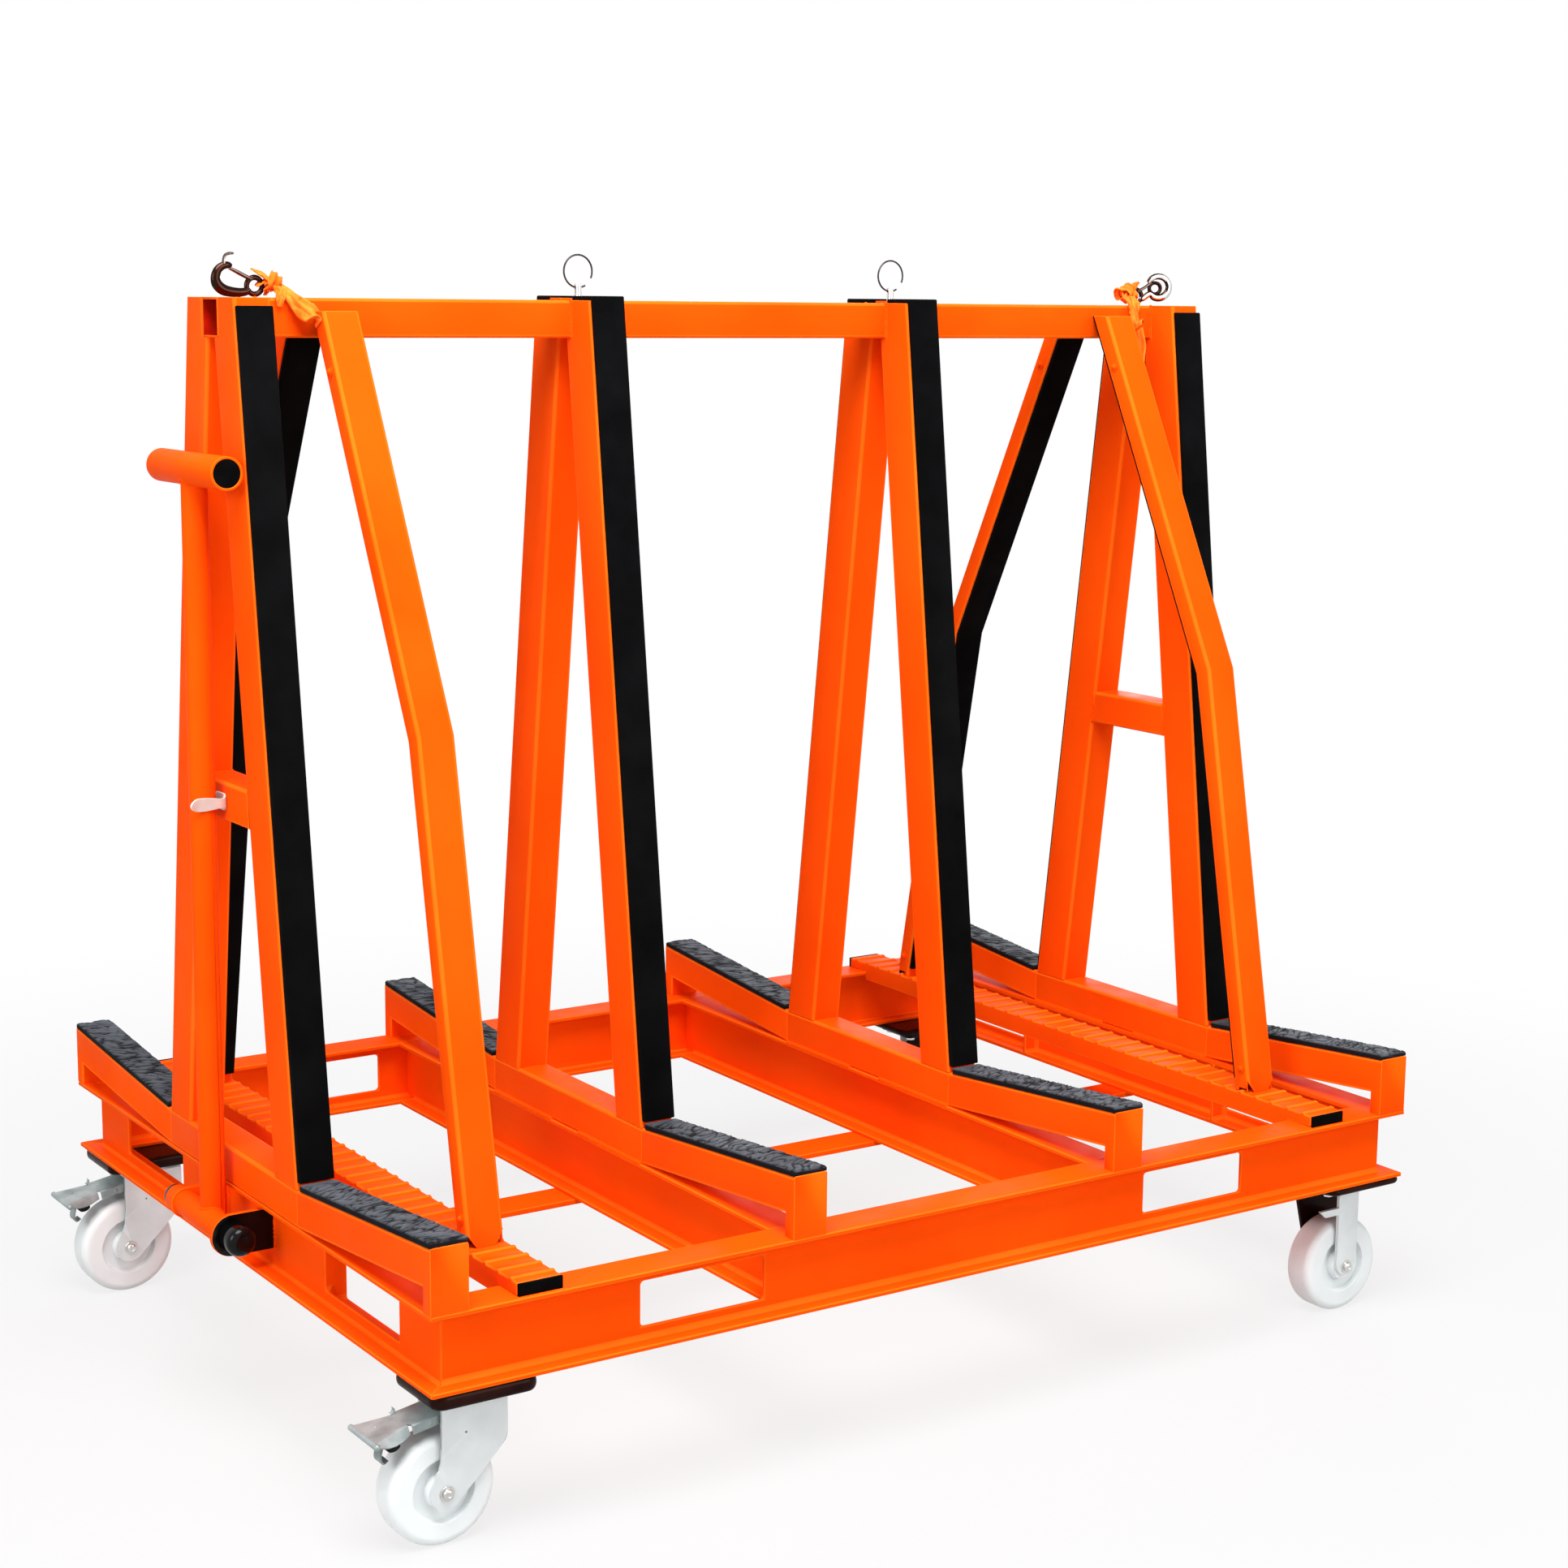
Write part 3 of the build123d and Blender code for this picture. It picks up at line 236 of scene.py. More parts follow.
orange_coat = powder_coat("orange_powder_coat", (0.94, 0.074, 0.0012), (1.0, 0.096, 0.0024))
# The rounded edges take a lighter, yellower copy of the coat: a painted highlight along every edge.
edge_highlight_coat = powder_coat("orange_edge_coat", (0.97, 0.120, 0.004), (1.0, 0.165, 0.008))


def new_piece(name, shape, finishes):
    """New object of a built shape in its finishes."""
    mesh = bpy.data.meshes.new(name)
    shape.to_mesh(mesh)
    shape.free()
    for finish in finishes:
        mesh.materials.append(finish)
    made = bpy.data.objects.new(name, mesh)
    scene.collection.objects.link(made)
    return made


def merged(node):
    """Shape of a CAD node, with its loose triangles joined."""
    shape = bmesh.new()
    shape.from_mesh(frame["nodes"][node].data)
    bmesh.ops.remove_doubles(shape, verts=shape.verts, dist=merge_reach)
    return shape


def softened(node, word, finishes, radius, ends=None, grain=None, root=0.0, flush=None, cut=None):
    """Copy of a CAD node with rounded edges, riding where the node does.

    Edges along the grain take the radius and the others the ends' radius; inner corners take the root's.
    A cut parts the faces at a height, so that notches below it leave the long faces above it alone.
    """
    shape = merged(node)
    bmesh.ops.dissolve_limit(shape, angle_limit=flat_turn, verts=shape.verts, edges=shape.edges)
    if cut is not None:
        bmesh.ops.bisect_plane(shape, geom=[*shape.verts, *shape.edges, *shape.faces],
                               plane_co=(0, 0, cut), plane_no=(0, 0, 1))
    widest = max(radius, root, least_round)
    weight = shape.edges.layers.float.new("bevel_weight_edge")
    for edge in shape.edges:
        turn = edge.calc_face_angle(0)
        edge.smooth = turn < edge_turn
        if edge.smooth or (flush and flush(edge.verts[0].co) and flush(edge.verts[1].co)):
            continue
        way = (edge.verts[1].co - edge.verts[0].co).normalized()
        long = grain is None or (abs(way[grain]) > along_grain and edge.calc_length() > short_edge)
        wanted = (radius if long or ends is None else ends) if edge.is_convex else root
        edge[weight] = wanted / widest
        edge.smooth = wanted > 0
    for face in shape.faces:
        face.smooth = True
    made = new_piece(f"{node}_{word}", shape, finishes)
    bevel = made.modifiers.new("soft_edges", "BEVEL")
    bevel.limit_method, bevel.width, bevel.segments = "WEIGHT", widest, round_steps
    bevel.use_clamp_overlap, bevel.harden_normals = False, True
    # The rounds take the last finish; for painted pieces that is the lighter edge coat, a painted highlight.
    bevel.material = len(finishes) - 1
    return settled(made, node)


def plain_mesh(made):
    """Turn a piece's modifiers into plain mesh."""
    graph = bpy.context.evaluated_depsgraph_get()
    mesh = bpy.data.meshes.new_from_object(made.evaluated_get(graph), preserve_all_data_layers=True, depsgraph=graph)
    made.modifiers.clear()
    made.data = mesh
    mesh.name = made.name


def settled(made, node):
    """Let a piece stand for its CAD node, as plain mesh on the node's body."""
    plain_mesh(made)
    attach(made, frame["nodes"][node]["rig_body"])
    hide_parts(node)
    return made


base_low, base_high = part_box("front_beam")
base_half = (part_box("right_end_beam")[1].x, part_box("rear_beam")[1].y)
mitre_reach = 1e-4


def on_mitre(point):
    """Whether a point lies on one of the base's mitred corners."""
    return abs((base_half[0] - abs(point.x)) - (base_half[1] - abs(point.y))) < mitre_reach


painted = [orange_coat, edge_highlight_coat]
flange_round, rolled_root = 0.0016, 0.006
for grain, beams in enumerate((("front_beam", "rear_beam"), ("left_end_beam", "right_end_beam"))):
    for node in beams:
        softened(node, "painted", painted, flange_round, grain=grain, root=rolled_root, flush=on_mitre)

# Cross beams and tie bar: the same rolled section under the middle frames, and a flat bar below them.
# All are welded in before coating.
cross_root, flat_bar_round = 0.005, 0.0012
softened("cross_beams", "painted", painted, flange_round, grain=1, root=cross_root)
softened("tie_bar", "painted", painted, flat_bar_round)

# A-frame: bearers, leaning legs, ties and the ridge bar, of square tube with rounded corners.
# The legs are notched round the ridge bar, whose ends stay open.
tube_round, tube_end, tab_round = 0.0042, 0.0009, 0.0006
frame_places = ("left", "mid_left", "mid_right", "right")
for place in frame_places:
    softened(f"{place}_bearer", "painted", painted, tube_round, ends=tube_end, grain=1)
    softened(f"{place}_legs", "painted", painted, tube_round, ends=tube_end, grain=2)
ridge = softened("top_bar", "painted", painted, tube_round, ends=tube_end, grain=0)
softened("end_ties", "painted", painted, tube_round, ends=tube_end, grain=1)
softened("bar_tabs", "painted", painted, tab_round)
# The ridge bar's inside faces take a dark red in place of the orange coat: painted shade inside the open tube.
tube_inside_shade = surface("bare_tube_inside", ((0.30, 0.003, 0.001), (0.46, 0.008, 0.001)), clouds=(40, 4, 0.3, 0.7),
                     gloss=(0.6, 0.8), shine=(70, 3), fixed={"IOR": 1.05})
ridge.data.materials.append(tube_inside_shade)
ridge_low, ridge_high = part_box("top_bar")
ridge_wall = 0.0028
ridge_bore = ridge_high.y - ridge_wall
for face in ridge.data.polygons:
    spot = face.center - (ridge_low + ridge_high) / 2
    if abs(spot.y) < ridge_bore and abs(spot.z) < ridge_bore and abs(face.normal.x) < 0.5:
        face.material_index = len(painted)

# Welds: short runs of ripples where tubes meet beams, legs meet the ridge and ears meet the end beam.
# They are laid before coating, so they carry the same orange.


def new_tree(name, sizes):
    """Geometry node tree with inputs for a geometry, sizes and a finish, and what its input node gives."""
    tree = bpy.data.node_groups.new(name, "GeometryNodeTree")
    tree.interface.new_socket("Geometry", in_out="INPUT", socket_type="NodeSocketGeometry")
    for size, value in sizes.items():
        kind = "NodeSocketInt" if isinstance(value, int) else "NodeSocketFloat"
        tree.interface.new_socket(size, in_out="INPUT", socket_type=kind).default_value = value
    tree.interface.new_socket("Finish", in_out="INPUT", socket_type="NodeSocketMaterial")
    tree.interface.new_socket("Geometry", in_out="OUTPUT", socket_type="NodeSocketGeometry")
    return tree, tree.nodes.new("NodeGroupInput").outputs


def end_tree(tree, given, shape):
    """Give a tree's real shape its finish and hand it out."""
    coated = add_node(tree, "GeometryNodeSetMaterial", {"Geometry": shape, "Material": given["Finish"]})
    add_node(tree, "NodeGroupOutput", {"Geometry": coated.outputs["Geometry"]})
    return tree


def ripple_tree():
    """Node tree that lays overlapping weld ripples along every line of a mesh."""
    tree, given = new_tree("weld_ripples", {"Ripple Pitch": 0.0026, "Bead Radius": 0.003, "Seed": 4})
    smallest, largest, overlap = (0.85, 0.82, 0.82), (1.15, 1.1, 1.1), 0.95
    run = add_node(tree, "GeometryNodeMeshToCurve", {"Mesh": given["Geometry"]})
    spaced = add_node(tree, "GeometryNodeResampleCurve",
                      {"Curve": run.outputs["Curve"], "Length": given["Ripple Pitch"]}, mode="LENGTH")
    along = add_node(tree, "GeometryNodeInputTangent").outputs["Tangent"]
    turned = add_node(tree, "FunctionNodeAlignRotationToVector", {"Vector": along}, axis="X")
    ripple = add_node(tree, "GeometryNodeMeshIcoSphere", {"Radius": 1.0, "Subdivisions": 2})
    uneven = add_node(tree, "FunctionNodeRandomValue", {0: smallest, 1: largest, "Seed": given["Seed"]},
                      data_type="FLOAT_VECTOR")
    pitch = add_node(tree, "ShaderNodeMath", {0: given["Ripple Pitch"], 1: overlap}, operation="MULTIPLY")
    span = add_node(tree, "ShaderNodeCombineXYZ",
                    {"X": pitch.outputs[0], "Y": given["Bead Radius"], "Z": given["Bead Radius"]})
    size = add_node(tree, "ShaderNodeVectorMath", {0: span.outputs[0], 1: uneven.outputs[0]}, operation="MULTIPLY")
    laid = add_node(tree, "GeometryNodeInstanceOnPoints",
                    {"Points": spaced.outputs["Curve"], "Instance": ripple.outputs["Mesh"],
                     "Rotation": turned.outputs["Rotation"], "Scale": size.outputs[0]})
    real = add_node(tree, "GeometryNodeRealizeInstances", {"Geometry": laid.outputs["Instances"]})
    smooth = add_node(tree, "GeometryNodeSetShadeSmooth", {"Geometry": real.outputs["Geometry"]})
    return end_tree(tree, given, smooth.outputs["Geometry"])


def grown(name, mesh, tree, body, slot, **inputs):
    """Piece that a node tree grows on a mesh, as plain mesh riding on a body."""
    made = bpy.data.objects.new(name, mesh)
    scene.collection.objects.link(made)
    growth = made.modifiers.new(name, "NODES")
    growth.node_group = tree
    for item in tree.interface.items_tree:
        word = item.name.lower().replace(" ", "_")
        if item.in_out == "INPUT" and word in inputs:
            growth[item.identifier] = inputs[word]
    plain_mesh(made)
    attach(made, body)
    return made


def run_mesh(name, runs):
    """Mesh of bare lines, one for each run of points."""
    points, edges = [], []
    for run in runs:
        first = len(points)
        points += [tuple(point) for point in run]
        edges += [(first + k, first + k + 1) for k in range(len(run) - 1)]
    mesh = bpy.data.meshes.new(name)
    mesh.from_pydata(points, edges, [])
    return mesh


def upright(x, y, low, high):
    """Run straight up at a place."""
    return [(x, y, low), (x, y, high)]


weld_ripples = ripple_tree()
base_end, heel_depth, bearer_start, ear_inner, tie_tube = 0.010, 0.0504, 0.040, 0.070, 0.050
tight_gap, run_gap, wide_gap = 0.001, 0.002, 0.003
foot_runs, ridge_runs = [], []
for place in frame_places:
    low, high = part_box(f"{place}_bearer")
    legs_low, legs_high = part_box(f"{place}_legs")
    inward = [x for x in (low.x, high.x) if base_low.x + base_end < x < base_high.x - base_end]
    for side in (-1, 1):
        heel = side * (legs_high.y - heel_depth)
        foot_runs.append([(low.x + wide_gap, heel, legs_low.z), (high.x - wide_gap, heel, legs_low.z)])
        for x in inward:
            foot_runs.append([(x, side * bearer_start, low.z), (x, side * (legs_high.y - run_gap), low.z)])
    for x in inward:
        for y in (ridge_low.y, ridge_high.y):
            ridge_runs.append(upright(x, y, ridge_low.z + run_gap, ridge_high.z - tight_gap))
ear_low, ear_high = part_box("tow_ears")
for y in (ear_low.y, -ear_inner, ear_inner, ear_high.y):
    foot_runs.append(upright(ear_high.x, y, ear_low.z + run_gap, ear_high.z - run_gap))
tie_low, tie_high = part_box("end_ties")
for x in (tie_low.x + tie_tube, tie_high.x - tie_tube):
    for y in (tie_low.y, tie_high.y):
        ridge_runs.append(upright(x, y, tie_low.z + wide_gap, tie_high.z - wide_gap))
grown("frame_foot_welds", run_mesh("frame_foot_runs", foot_runs), weld_ripples, "cart_frame", "orange_frame",
      bead_radius=0.0032, seed=3, finish=orange_coat)
grown("ridge_welds", run_mesh("ridge_runs", ridge_runs), weld_ripples, "cart_frame", "orange_frame",
      bead_radius=0.0026, seed=5, finish=orange_coat)

# Safety posts and ribbed rails: kinked rectangular tubes that stand on the pressed ribs of two rails.
# Both are painted like the frame, and the rails' open ends are closed by black plastic plugs.
# Bolts with washers and domed heads go through each post near its top and its foot.
above_notches, rail_round, plug_edge = 0.050, 0.0022, 0.0012
for row in ("front", "rear"):
    for hand in ("left", "right"):
        post = f"{row}_{hand}_post"
        softened(post, "painted", painted, tube_round, ends=tube_end, grain=2, cut=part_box(post)[0].z + above_notches)
softened("rails", "painted", painted, rail_round)


def moulded_plastic(name, deep, light, gloss, refraction=1.15):
    """Black moulded plastic with a faint grain."""
    return surface(name, (deep, light), clouds=(40, 3, 0.35, 0.7), gloss=(gloss - 0.06, gloss + 0.08), shine=(90, 2),
                   grain=(1500, 2, 0.15, 0.0003), fixed={"IOR": refraction})


plug_plastic = moulded_plastic("black_plug_plastic", (0.0015, 0.0015, 0.0015), (0.003, 0.003, 0.003), 0.5, 1.06)
softened("rail_plugs", "moulded", [plug_plastic], plug_edge)


def bolt_tree():
    """Node tree that puts a washer and a domed head on every point, facing the way its attribute says."""
    tree, given = new_tree("domed_bolts", {"Washer Radius": 0.007, "Washer Height": 0.003,
                                           "Head Radius": 0.0052, "Head Height": 0.005})
    washer = add_node(tree, "GeometryNodeMeshCylinder",
                      {"Vertices": 24, "Radius": given["Washer Radius"], "Depth": given["Washer Height"]})
    ball = add_node(tree, "GeometryNodeMeshUVSphere", {"Segments": 20, "Rings": 10, "Radius": 1.0})
    span = add_node(tree, "ShaderNodeCombineXYZ",
                    {"X": given["Head Radius"], "Y": given["Head Radius"], "Z": given["Head Height"]})
    dome = add_node(tree, "GeometryNodeTransform", {"Geometry": ball.outputs["Mesh"], "Scale": span.outputs[0]})
    rounded = add_node(tree, "GeometryNodeSetShadeSmooth", {"Geometry": dome.outputs["Geometry"]})
    head = tree.nodes.new("GeometryNodeJoinGeometry")
    tree.links.new(washer.outputs["Mesh"], head.inputs[0])
    tree.links.new(rounded.outputs["Geometry"], head.inputs[0])
    facing = add_node(tree, "GeometryNodeInputNamedAttribute", {"Name": "facing"}, data_type="FLOAT_VECTOR")
    turned = add_node(tree, "FunctionNodeAlignRotationToVector", {"Vector": facing.outputs["Attribute"]}, axis="Z")
    placed = add_node(tree, "GeometryNodeInstanceOnPoints",
                      {"Points": given["Geometry"], "Instance": head.outputs["Geometry"],
                       "Rotation": turned.outputs["Rotation"]})
    real = add_node(tree, "GeometryNodeRealizeInstances", {"Geometry": placed.outputs["Instances"]})
    return end_tree(tree, given, real.outputs["Geometry"])


def facing_points(name, places):
    """Mesh of bare points, each with the way it faces."""
    mesh = bpy.data.meshes.new(name)
    mesh.from_pydata([place for place, way in places], [], [])
    facing = mesh.attributes.new("facing", "FLOAT_VECTOR", "POINT")
    for entry, (place, way) in zip(facing.data, places):
        entry.vector = way
    return mesh


domed_bolts = bolt_tree()
bolt_drop, bolt_inward, top_lean = 0.075, 0.0168, 0.4968
foot_bolt_rise, foot_bolt_inward = 0.034, 0.019
for row, out in (("front", -1), ("rear", 1)):
    for hand in ("left", "right"):
        low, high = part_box(f"{row}_{hand}_post")
        crown = min(abs(low.y), abs(high.y))
        foot = max(abs(low.y), abs(high.y))
        upper = out * (crown + bolt_inward + bolt_drop * top_lean)
        lower = out * (foot - foot_bolt_inward)
        places = []
        for x, way in ((low.x, -1.0), (high.x, 1.0)):
            places.append(((x, upper, high.z - bolt_drop), (way, 0.0, 0.0)))
            places.append(((x, lower, low.z + foot_bolt_rise), (way, 0.0, 0.0)))
        grown(f"{row}_{hand}_post_bolts", facing_points(f"{row}_{hand}_bolt_points", places), domed_bolts,
              f"{row}_{hand}_post", "orange_frame", finish=orange_coat)

# Rubber: thick creased pads on the arms, smooth strips down the legs and the posts.
# All are cut from sheet and glued on.


def sheet_rubber(name, deep, light, grain_depth, fixed=None):
    """Rubber sheet: dark, dusty in patches, with a fine grain."""
    return surface(name, (deep, light), clouds=(14, 5, 0.35, 0.72), gloss=(0.62, 0.80), shine=(60, 3),
                   grain=(700, 4, 0.3, grain_depth), fixed=fixed)


sharp_turn, level_weight = radians(40), 100


def drawn(name, shape, finishes, node, flat=False, outward=True):
    """New object of a built shape, smooth where it bends gently, standing for its CAD node."""
    if outward:
        bmesh.ops.recalc_face_normals(shape, faces=shape.faces)
    made = new_piece(name, shape, finishes)
    made.data.shade_smooth()
    made.data.set_sharp_from_angle(angle=sharp_turn)
    if flat:
        level = made.modifiers.new("flat_faces", "WEIGHTED_NORMAL")
        level.mode, level.weight, level.keep_sharp = "FACE_AREA", level_weight, True
    return settled(made, node)


def skinned(shape, rings, closed_ring=True, closed_path=False, capped=True, finish=0):
    """Faces between rings of points of equal number, with the ends closed."""
    rows = [[shape.verts.new(point) for point in ring] for ring in rings]
    count = len(rows[0])
    loops = []
    for near, far in list(zip(rows, rows[1:])) + ([(rows[-1], rows[0])] if closed_path else []):
        for k in range(count if closed_ring else count - 1):
            n = (k + 1) % count
            loops.append((near[k], near[n], far[n], far[k]))
    if capped and not closed_path:
        loops += [list(reversed(rows[0])), rows[-1]]
    for loop in loops:
        shape.faces.new(loop).material_index = finish
    return rows


def middle_x(node):
    """Middle of a CAD node along the cart."""
    low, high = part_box(node)
    return (low.x + high.x) / 2


pad_slope, pad_half, pad_round, pad_flat = radians(5), 0.025, 0.0022, 0.9
pad_steps, pad_columns, bend_steps, rolled_steps, foot_flat = 400, 11, 3, 4, 0.014
crease_depth, crease_across, crease_along, crease_skew = 0.0019, 30.0, 105.0, 0.55
fold_width, fold_power, fold_share = 0.26, 1.4, 0.75
wrinkle_width, wrinkle_power, wrinkle_share = 0.22, 1.6, 0.45
seed_apart = 20.0


def crease(x, y, seed):
    """Depth of the creases at a place on a pad, from nothing to one."""
    along = (y + crease_skew * x) * crease_along
    across = (x - crease_skew * y) * crease_across
    bend = noise.noise(Vector((across * 0.9, along * 0.16, seed + 7.0)))
    fold = noise.noise(Vector((across, along * 0.85 + 1.3 * bend, seed)))
    wrinkle = noise.noise(Vector((across * 1.8, along * 1.7 + bend, seed + 3.0)))
    return (max(0.0, 1 - abs(fold) / fold_width) ** fold_power * fold_share
            + max(0.0, 1 - abs(wrinkle) / wrinkle_width) ** wrinkle_power * wrinkle_share)


def creased_pads(side):
    """Thick pads with creases pressed into their tops, one on each arm, with painted shade in the creases and down the
    sides.
    """
    node = f"{side}_pads"
    low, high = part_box(node)
    reach = high.y - low.y
    thick = high.z - low.z - reach * sin(pad_slope) / cos(pad_slope)
    inner = high.y if side == "front" else low.y
    out = -1 if side == "front" else 1
    shape = bmesh.new()
    shade_layer = shape.verts.layers.float.new("fold")
    bends = [pi / 2 * k / bend_steps for k in range(bend_steps + 1)]
    shoulder = [(pad_half - pad_round * (1 - cos(a)), thick - pad_round * (1 - sin(a))) for a in bends]
    profile = [(-pad_half, 0.0)] + [(-x, z) for x, z in shoulder]
    profile += [(pad_half * (k / pad_columns - 1) * pad_flat, thick) for k in range(1, 2 * pad_columns)]
    profile += shoulder[::-1] + [(pad_half, 0.0)]
    for seed, place in enumerate(frame_places):
        middle = middle_x(f"{place}_bearer")
        rings, shade_rows = [], []
        for step in range(pad_steps + 1):
            away = reach * step / pad_steps
            rolled = min(1.0, (pad_steps - step) / rolled_steps)
            ring, deep = [], []
            for x, z in profile:
                fold = crease(x, away, seed_apart * seed + out) * min(1.0, away / foot_flat) ** 2
                sunk = fold * crease_depth + (1 - rolled) ** 2 * pad_round
                lift = z - sunk * (z / thick) ** 2
                ring.append((middle + x, inner + out * away, low.z + away * sin(pad_slope) / cos(pad_slope) + lift))
                # painted shade: full in the deepest creases and at the foot of each pad's sides, fading up the sides
                deep.append(max(fold, 1.0 - (z / thick) ** 4))
            rings.append(ring)
            shade_rows.append(deep)
        for row, deep in zip(skinned(shape, rings), shade_rows):
            for point, fold in zip(row, deep):
                point[shade_layer] = fold
    return drawn(f"{node}_creased", shape, [pad_rubber], node)


strip_rubber = sheet_rubber("smooth_strip_rubber", (0.0020, 0.0021, 0.0023), (0.0042, 0.0044, 0.0048), 0.0003,
                            {"Specular IOR Level": 0.015})
pad_rubber = sheet_rubber("creased_pad_rubber", (0.040, 0.046, 0.056), (0.082, 0.092, 0.108), 0.0008)
# Painted shade: the pad rubber goes to near black in the creases and down the lower sides, and loses its gloss there.
painted_crease_shade, fold_start, fold_end = (0.004, 0.004, 0.005, 1), 0.05, 0.75
pad_tree = pad_rubber.node_tree
pad_shader = pad_tree.nodes["Principled BSDF"]
dusty = pad_shader.inputs["Base Color"].links[0].from_socket
fold_shade = add_node(pad_tree, "ShaderNodeAttribute", attribute_name="fold").outputs["Fac"]
sunk = between(pad_tree, fold_shade, 0.0, 0.92, fold_start, fold_end)
shaded_pad_colour = add_node(pad_tree, "ShaderNodeMix", {0: sunk, 6: dusty, 7: painted_crease_shade}, data_type="RGBA")
pad_tree.links.new(shaded_pad_colour.outputs[2], pad_shader.inputs["Base Color"])
sheen = between(pad_tree, fold_shade, 0.25, 0.02, fold_start, fold_end)
pad_tree.links.new(sheen, pad_shader.inputs["Specular IOR Level"])


def trimmed(strip, middles, margin):
    """Draw a strip's long edges in from the sides of the tubes that it is glued to."""
    for point in strip.data.vertices:
        middle = min(middles, key=lambda x: abs(x - point.co.x))
        point.co.x -= margin if point.co.x > middle else -margin


strip_round, strip_margin, post_strip_round, post_margin = 0.0018, 0.0054, 0.0016, 0.0047
for side in ("front", "rear"):
    strips = softened(f"{side}_leg_strips", "cut", [strip_rubber], strip_round)
    creased_pads(side)
    if side == "rear":
        trimmed(strips, [middle_x(f"{place}_bearer") for place in frame_places], strip_margin)
    for hand in ("left", "right"):
        strip = softened(f"{side}_{hand}_post_strip", "cut", [strip_rubber], post_strip_round)
        if side == "front":
            trimmed(strip, [middle_x(f"front_{hand}_post")], post_margin)

# Tow bar: steel pipes, coped and welded, that swing on a pivot tube between two ears of plate.
# Black caps close the pipes' ends, and a zinc-plated spring clip keeps the bar upright.
plate_round, pipe_round, near_face = 0.0012, 0.0008, 0.0005
ears = softened("tow_ears", "painted", painted, plate_round)
for node in ("tow_pole", "tow_handle", "tow_pivot_tube"):
    softened(node, "painted", painted, pipe_round)
cap_plastic = moulded_plastic("black_cap_plastic", (0.0015, 0.0015, 0.0015), (0.003, 0.003, 0.003), 0.09, 1.25)
# The near ear's outer face takes the black cap plastic: painted shade on that face.
ears.data.materials.append(cap_plastic)
for face in ears.data.polygons:
    if face.normal.y < -0.9 and face.center.y < ear_low.y + near_face:
        face.material_index = len(painted)


def circle(count):
    """Points round a circle of radius one."""
    return [(cos(tau * k / count), sin(tau * k / count)) for k in range(count)]


def turned(shape, stations, middle, finish=0, sides=36):
    """Body turned about a line across the cart, from stations of place and radius."""
    skinned(shape, [[(middle.x + radius * c, y, middle.z + radius * s) for c, s in circle(sides)]
                    for y, radius in stations], finish=finish)


pole_low, pole_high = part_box("tow_pole")
grip_low, grip_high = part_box("tow_handle")
hinge_low, hinge_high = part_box("tow_pivot_tube")
pole_middle, pole_radius = (pole_low + pole_high) / 2, (pole_high.y - pole_low.y) / 2
grip_middle, grip_radius = (grip_low + grip_high) / 2, (grip_high.x - grip_low.x) / 2
hinge_middle, hinge_radius = (hinge_low + hinge_high) / 2, (hinge_high.x - hinge_low.x) / 2
slim_ear, slim_cap = 0.74, 0.80
for point in ears.data.vertices:
    if point.co.y > 0:
        point.co.z = hinge_middle.z + (point.co.z - hinge_middle.z) * slim_ear
        if point.co.x < hinge_middle.x:
            point.co.x = hinge_middle.x + (point.co.x - hinge_middle.x) * slim_ear
cap_points = [point.co for point in frame["nodes"]["tow_caps"].data.vertices]
dome_depth, plug_round, dome_steps, lead_in, lead_share = 0.011, 0.0012, 8, 0.0006, 0.98
shape = bmesh.new()
for middle, level in ((hinge_middle, False), (grip_middle, True)):
    points = [point for point in cap_points if (point.z > pole_middle.z) == level]
    radius = max(Vector((point.x - middle.x, point.z - middle.z)).length for point in points)
    start, end = min(abs(point.y) for point in points), max(abs(point.y) for point in points)
    depth = plug_round if level else dome_depth
    for side in (-1, 1):
        stations = [(start, radius * lead_share), (start + lead_in, radius), (end - depth, radius)]
        for turn in (pi / 2 * k / dome_steps for k in range(1, dome_steps + 1)):
            stations.append((end - depth + depth * sin(turn), radius - depth + depth * cos(turn)))
        share = slim_cap if side > 0 and not level else 1.0
        turned(shape, [(side * y, reach * share) for y, reach in stations], middle, finish=int(level))
drawn("tow_caps_moulded", shape, [cap_plastic, plug_plastic], "tow_caps")
grip_run, hinge_run, run_steps, lap_limit = [], [], 48, 0.97
for k in range(run_steps + 1):
    turn = tau * k / run_steps
    x, y = pole_middle.x + pole_radius * cos(turn), pole_radius * sin(turn)
    grip_run.append((x, y, grip_middle.z - (grip_radius ** 2 - (x - grip_middle.x) ** 2) ** 0.5))
    lap = x - hinge_middle.x
    if abs(lap) < hinge_radius * lap_limit:
        hinge_run.append((x, y, hinge_middle.z + (hinge_radius ** 2 - lap ** 2) ** 0.5))
hinge_run = [point for point in hinge_run if point[1] > 0] + [point for point in hinge_run if point[1] <= 0]
grown("tow_bar_welds", run_mesh("tow_bar_runs", [grip_run, hinge_run]), weld_ripples, "tow_bar", "orange_frame",
      bead_radius=0.0026, seed=7, finish=orange_coat)


def plated_steel(name, deep, light, low_gloss, high_gloss, streak=(1, 1, 1), metal=1.0):
    """Zinc-plated steel: cloudy plating with fine drawn streaks."""
    return surface(name, (deep, light), clouds=(35, 5, 0.3, 0.75), gloss=(low_gloss, high_gloss), shine=(80, 4),
                   grain=(500, 3, 0.12, 0.0003, streak), fixed={"Metallic": metal})


clip_steel = plated_steel("bright_clip_zinc", (0.62, 0.61, 0.58), (0.80, 0.79, 0.76), 0.18, 0.32, (1, 1, 6))
leaf_zinc = plated_steel("pale_leaf_zinc", (0.60, 0.62, 0.58), (0.78, 0.80, 0.75), 0.30, 0.45, (1, 1, 6), 0.2)
clip_low, clip_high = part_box("pole_clip")
clip_middle, leaf_sheet, leaf_corner = (clip_low + clip_high) / 2, 0.0012, 0.0005
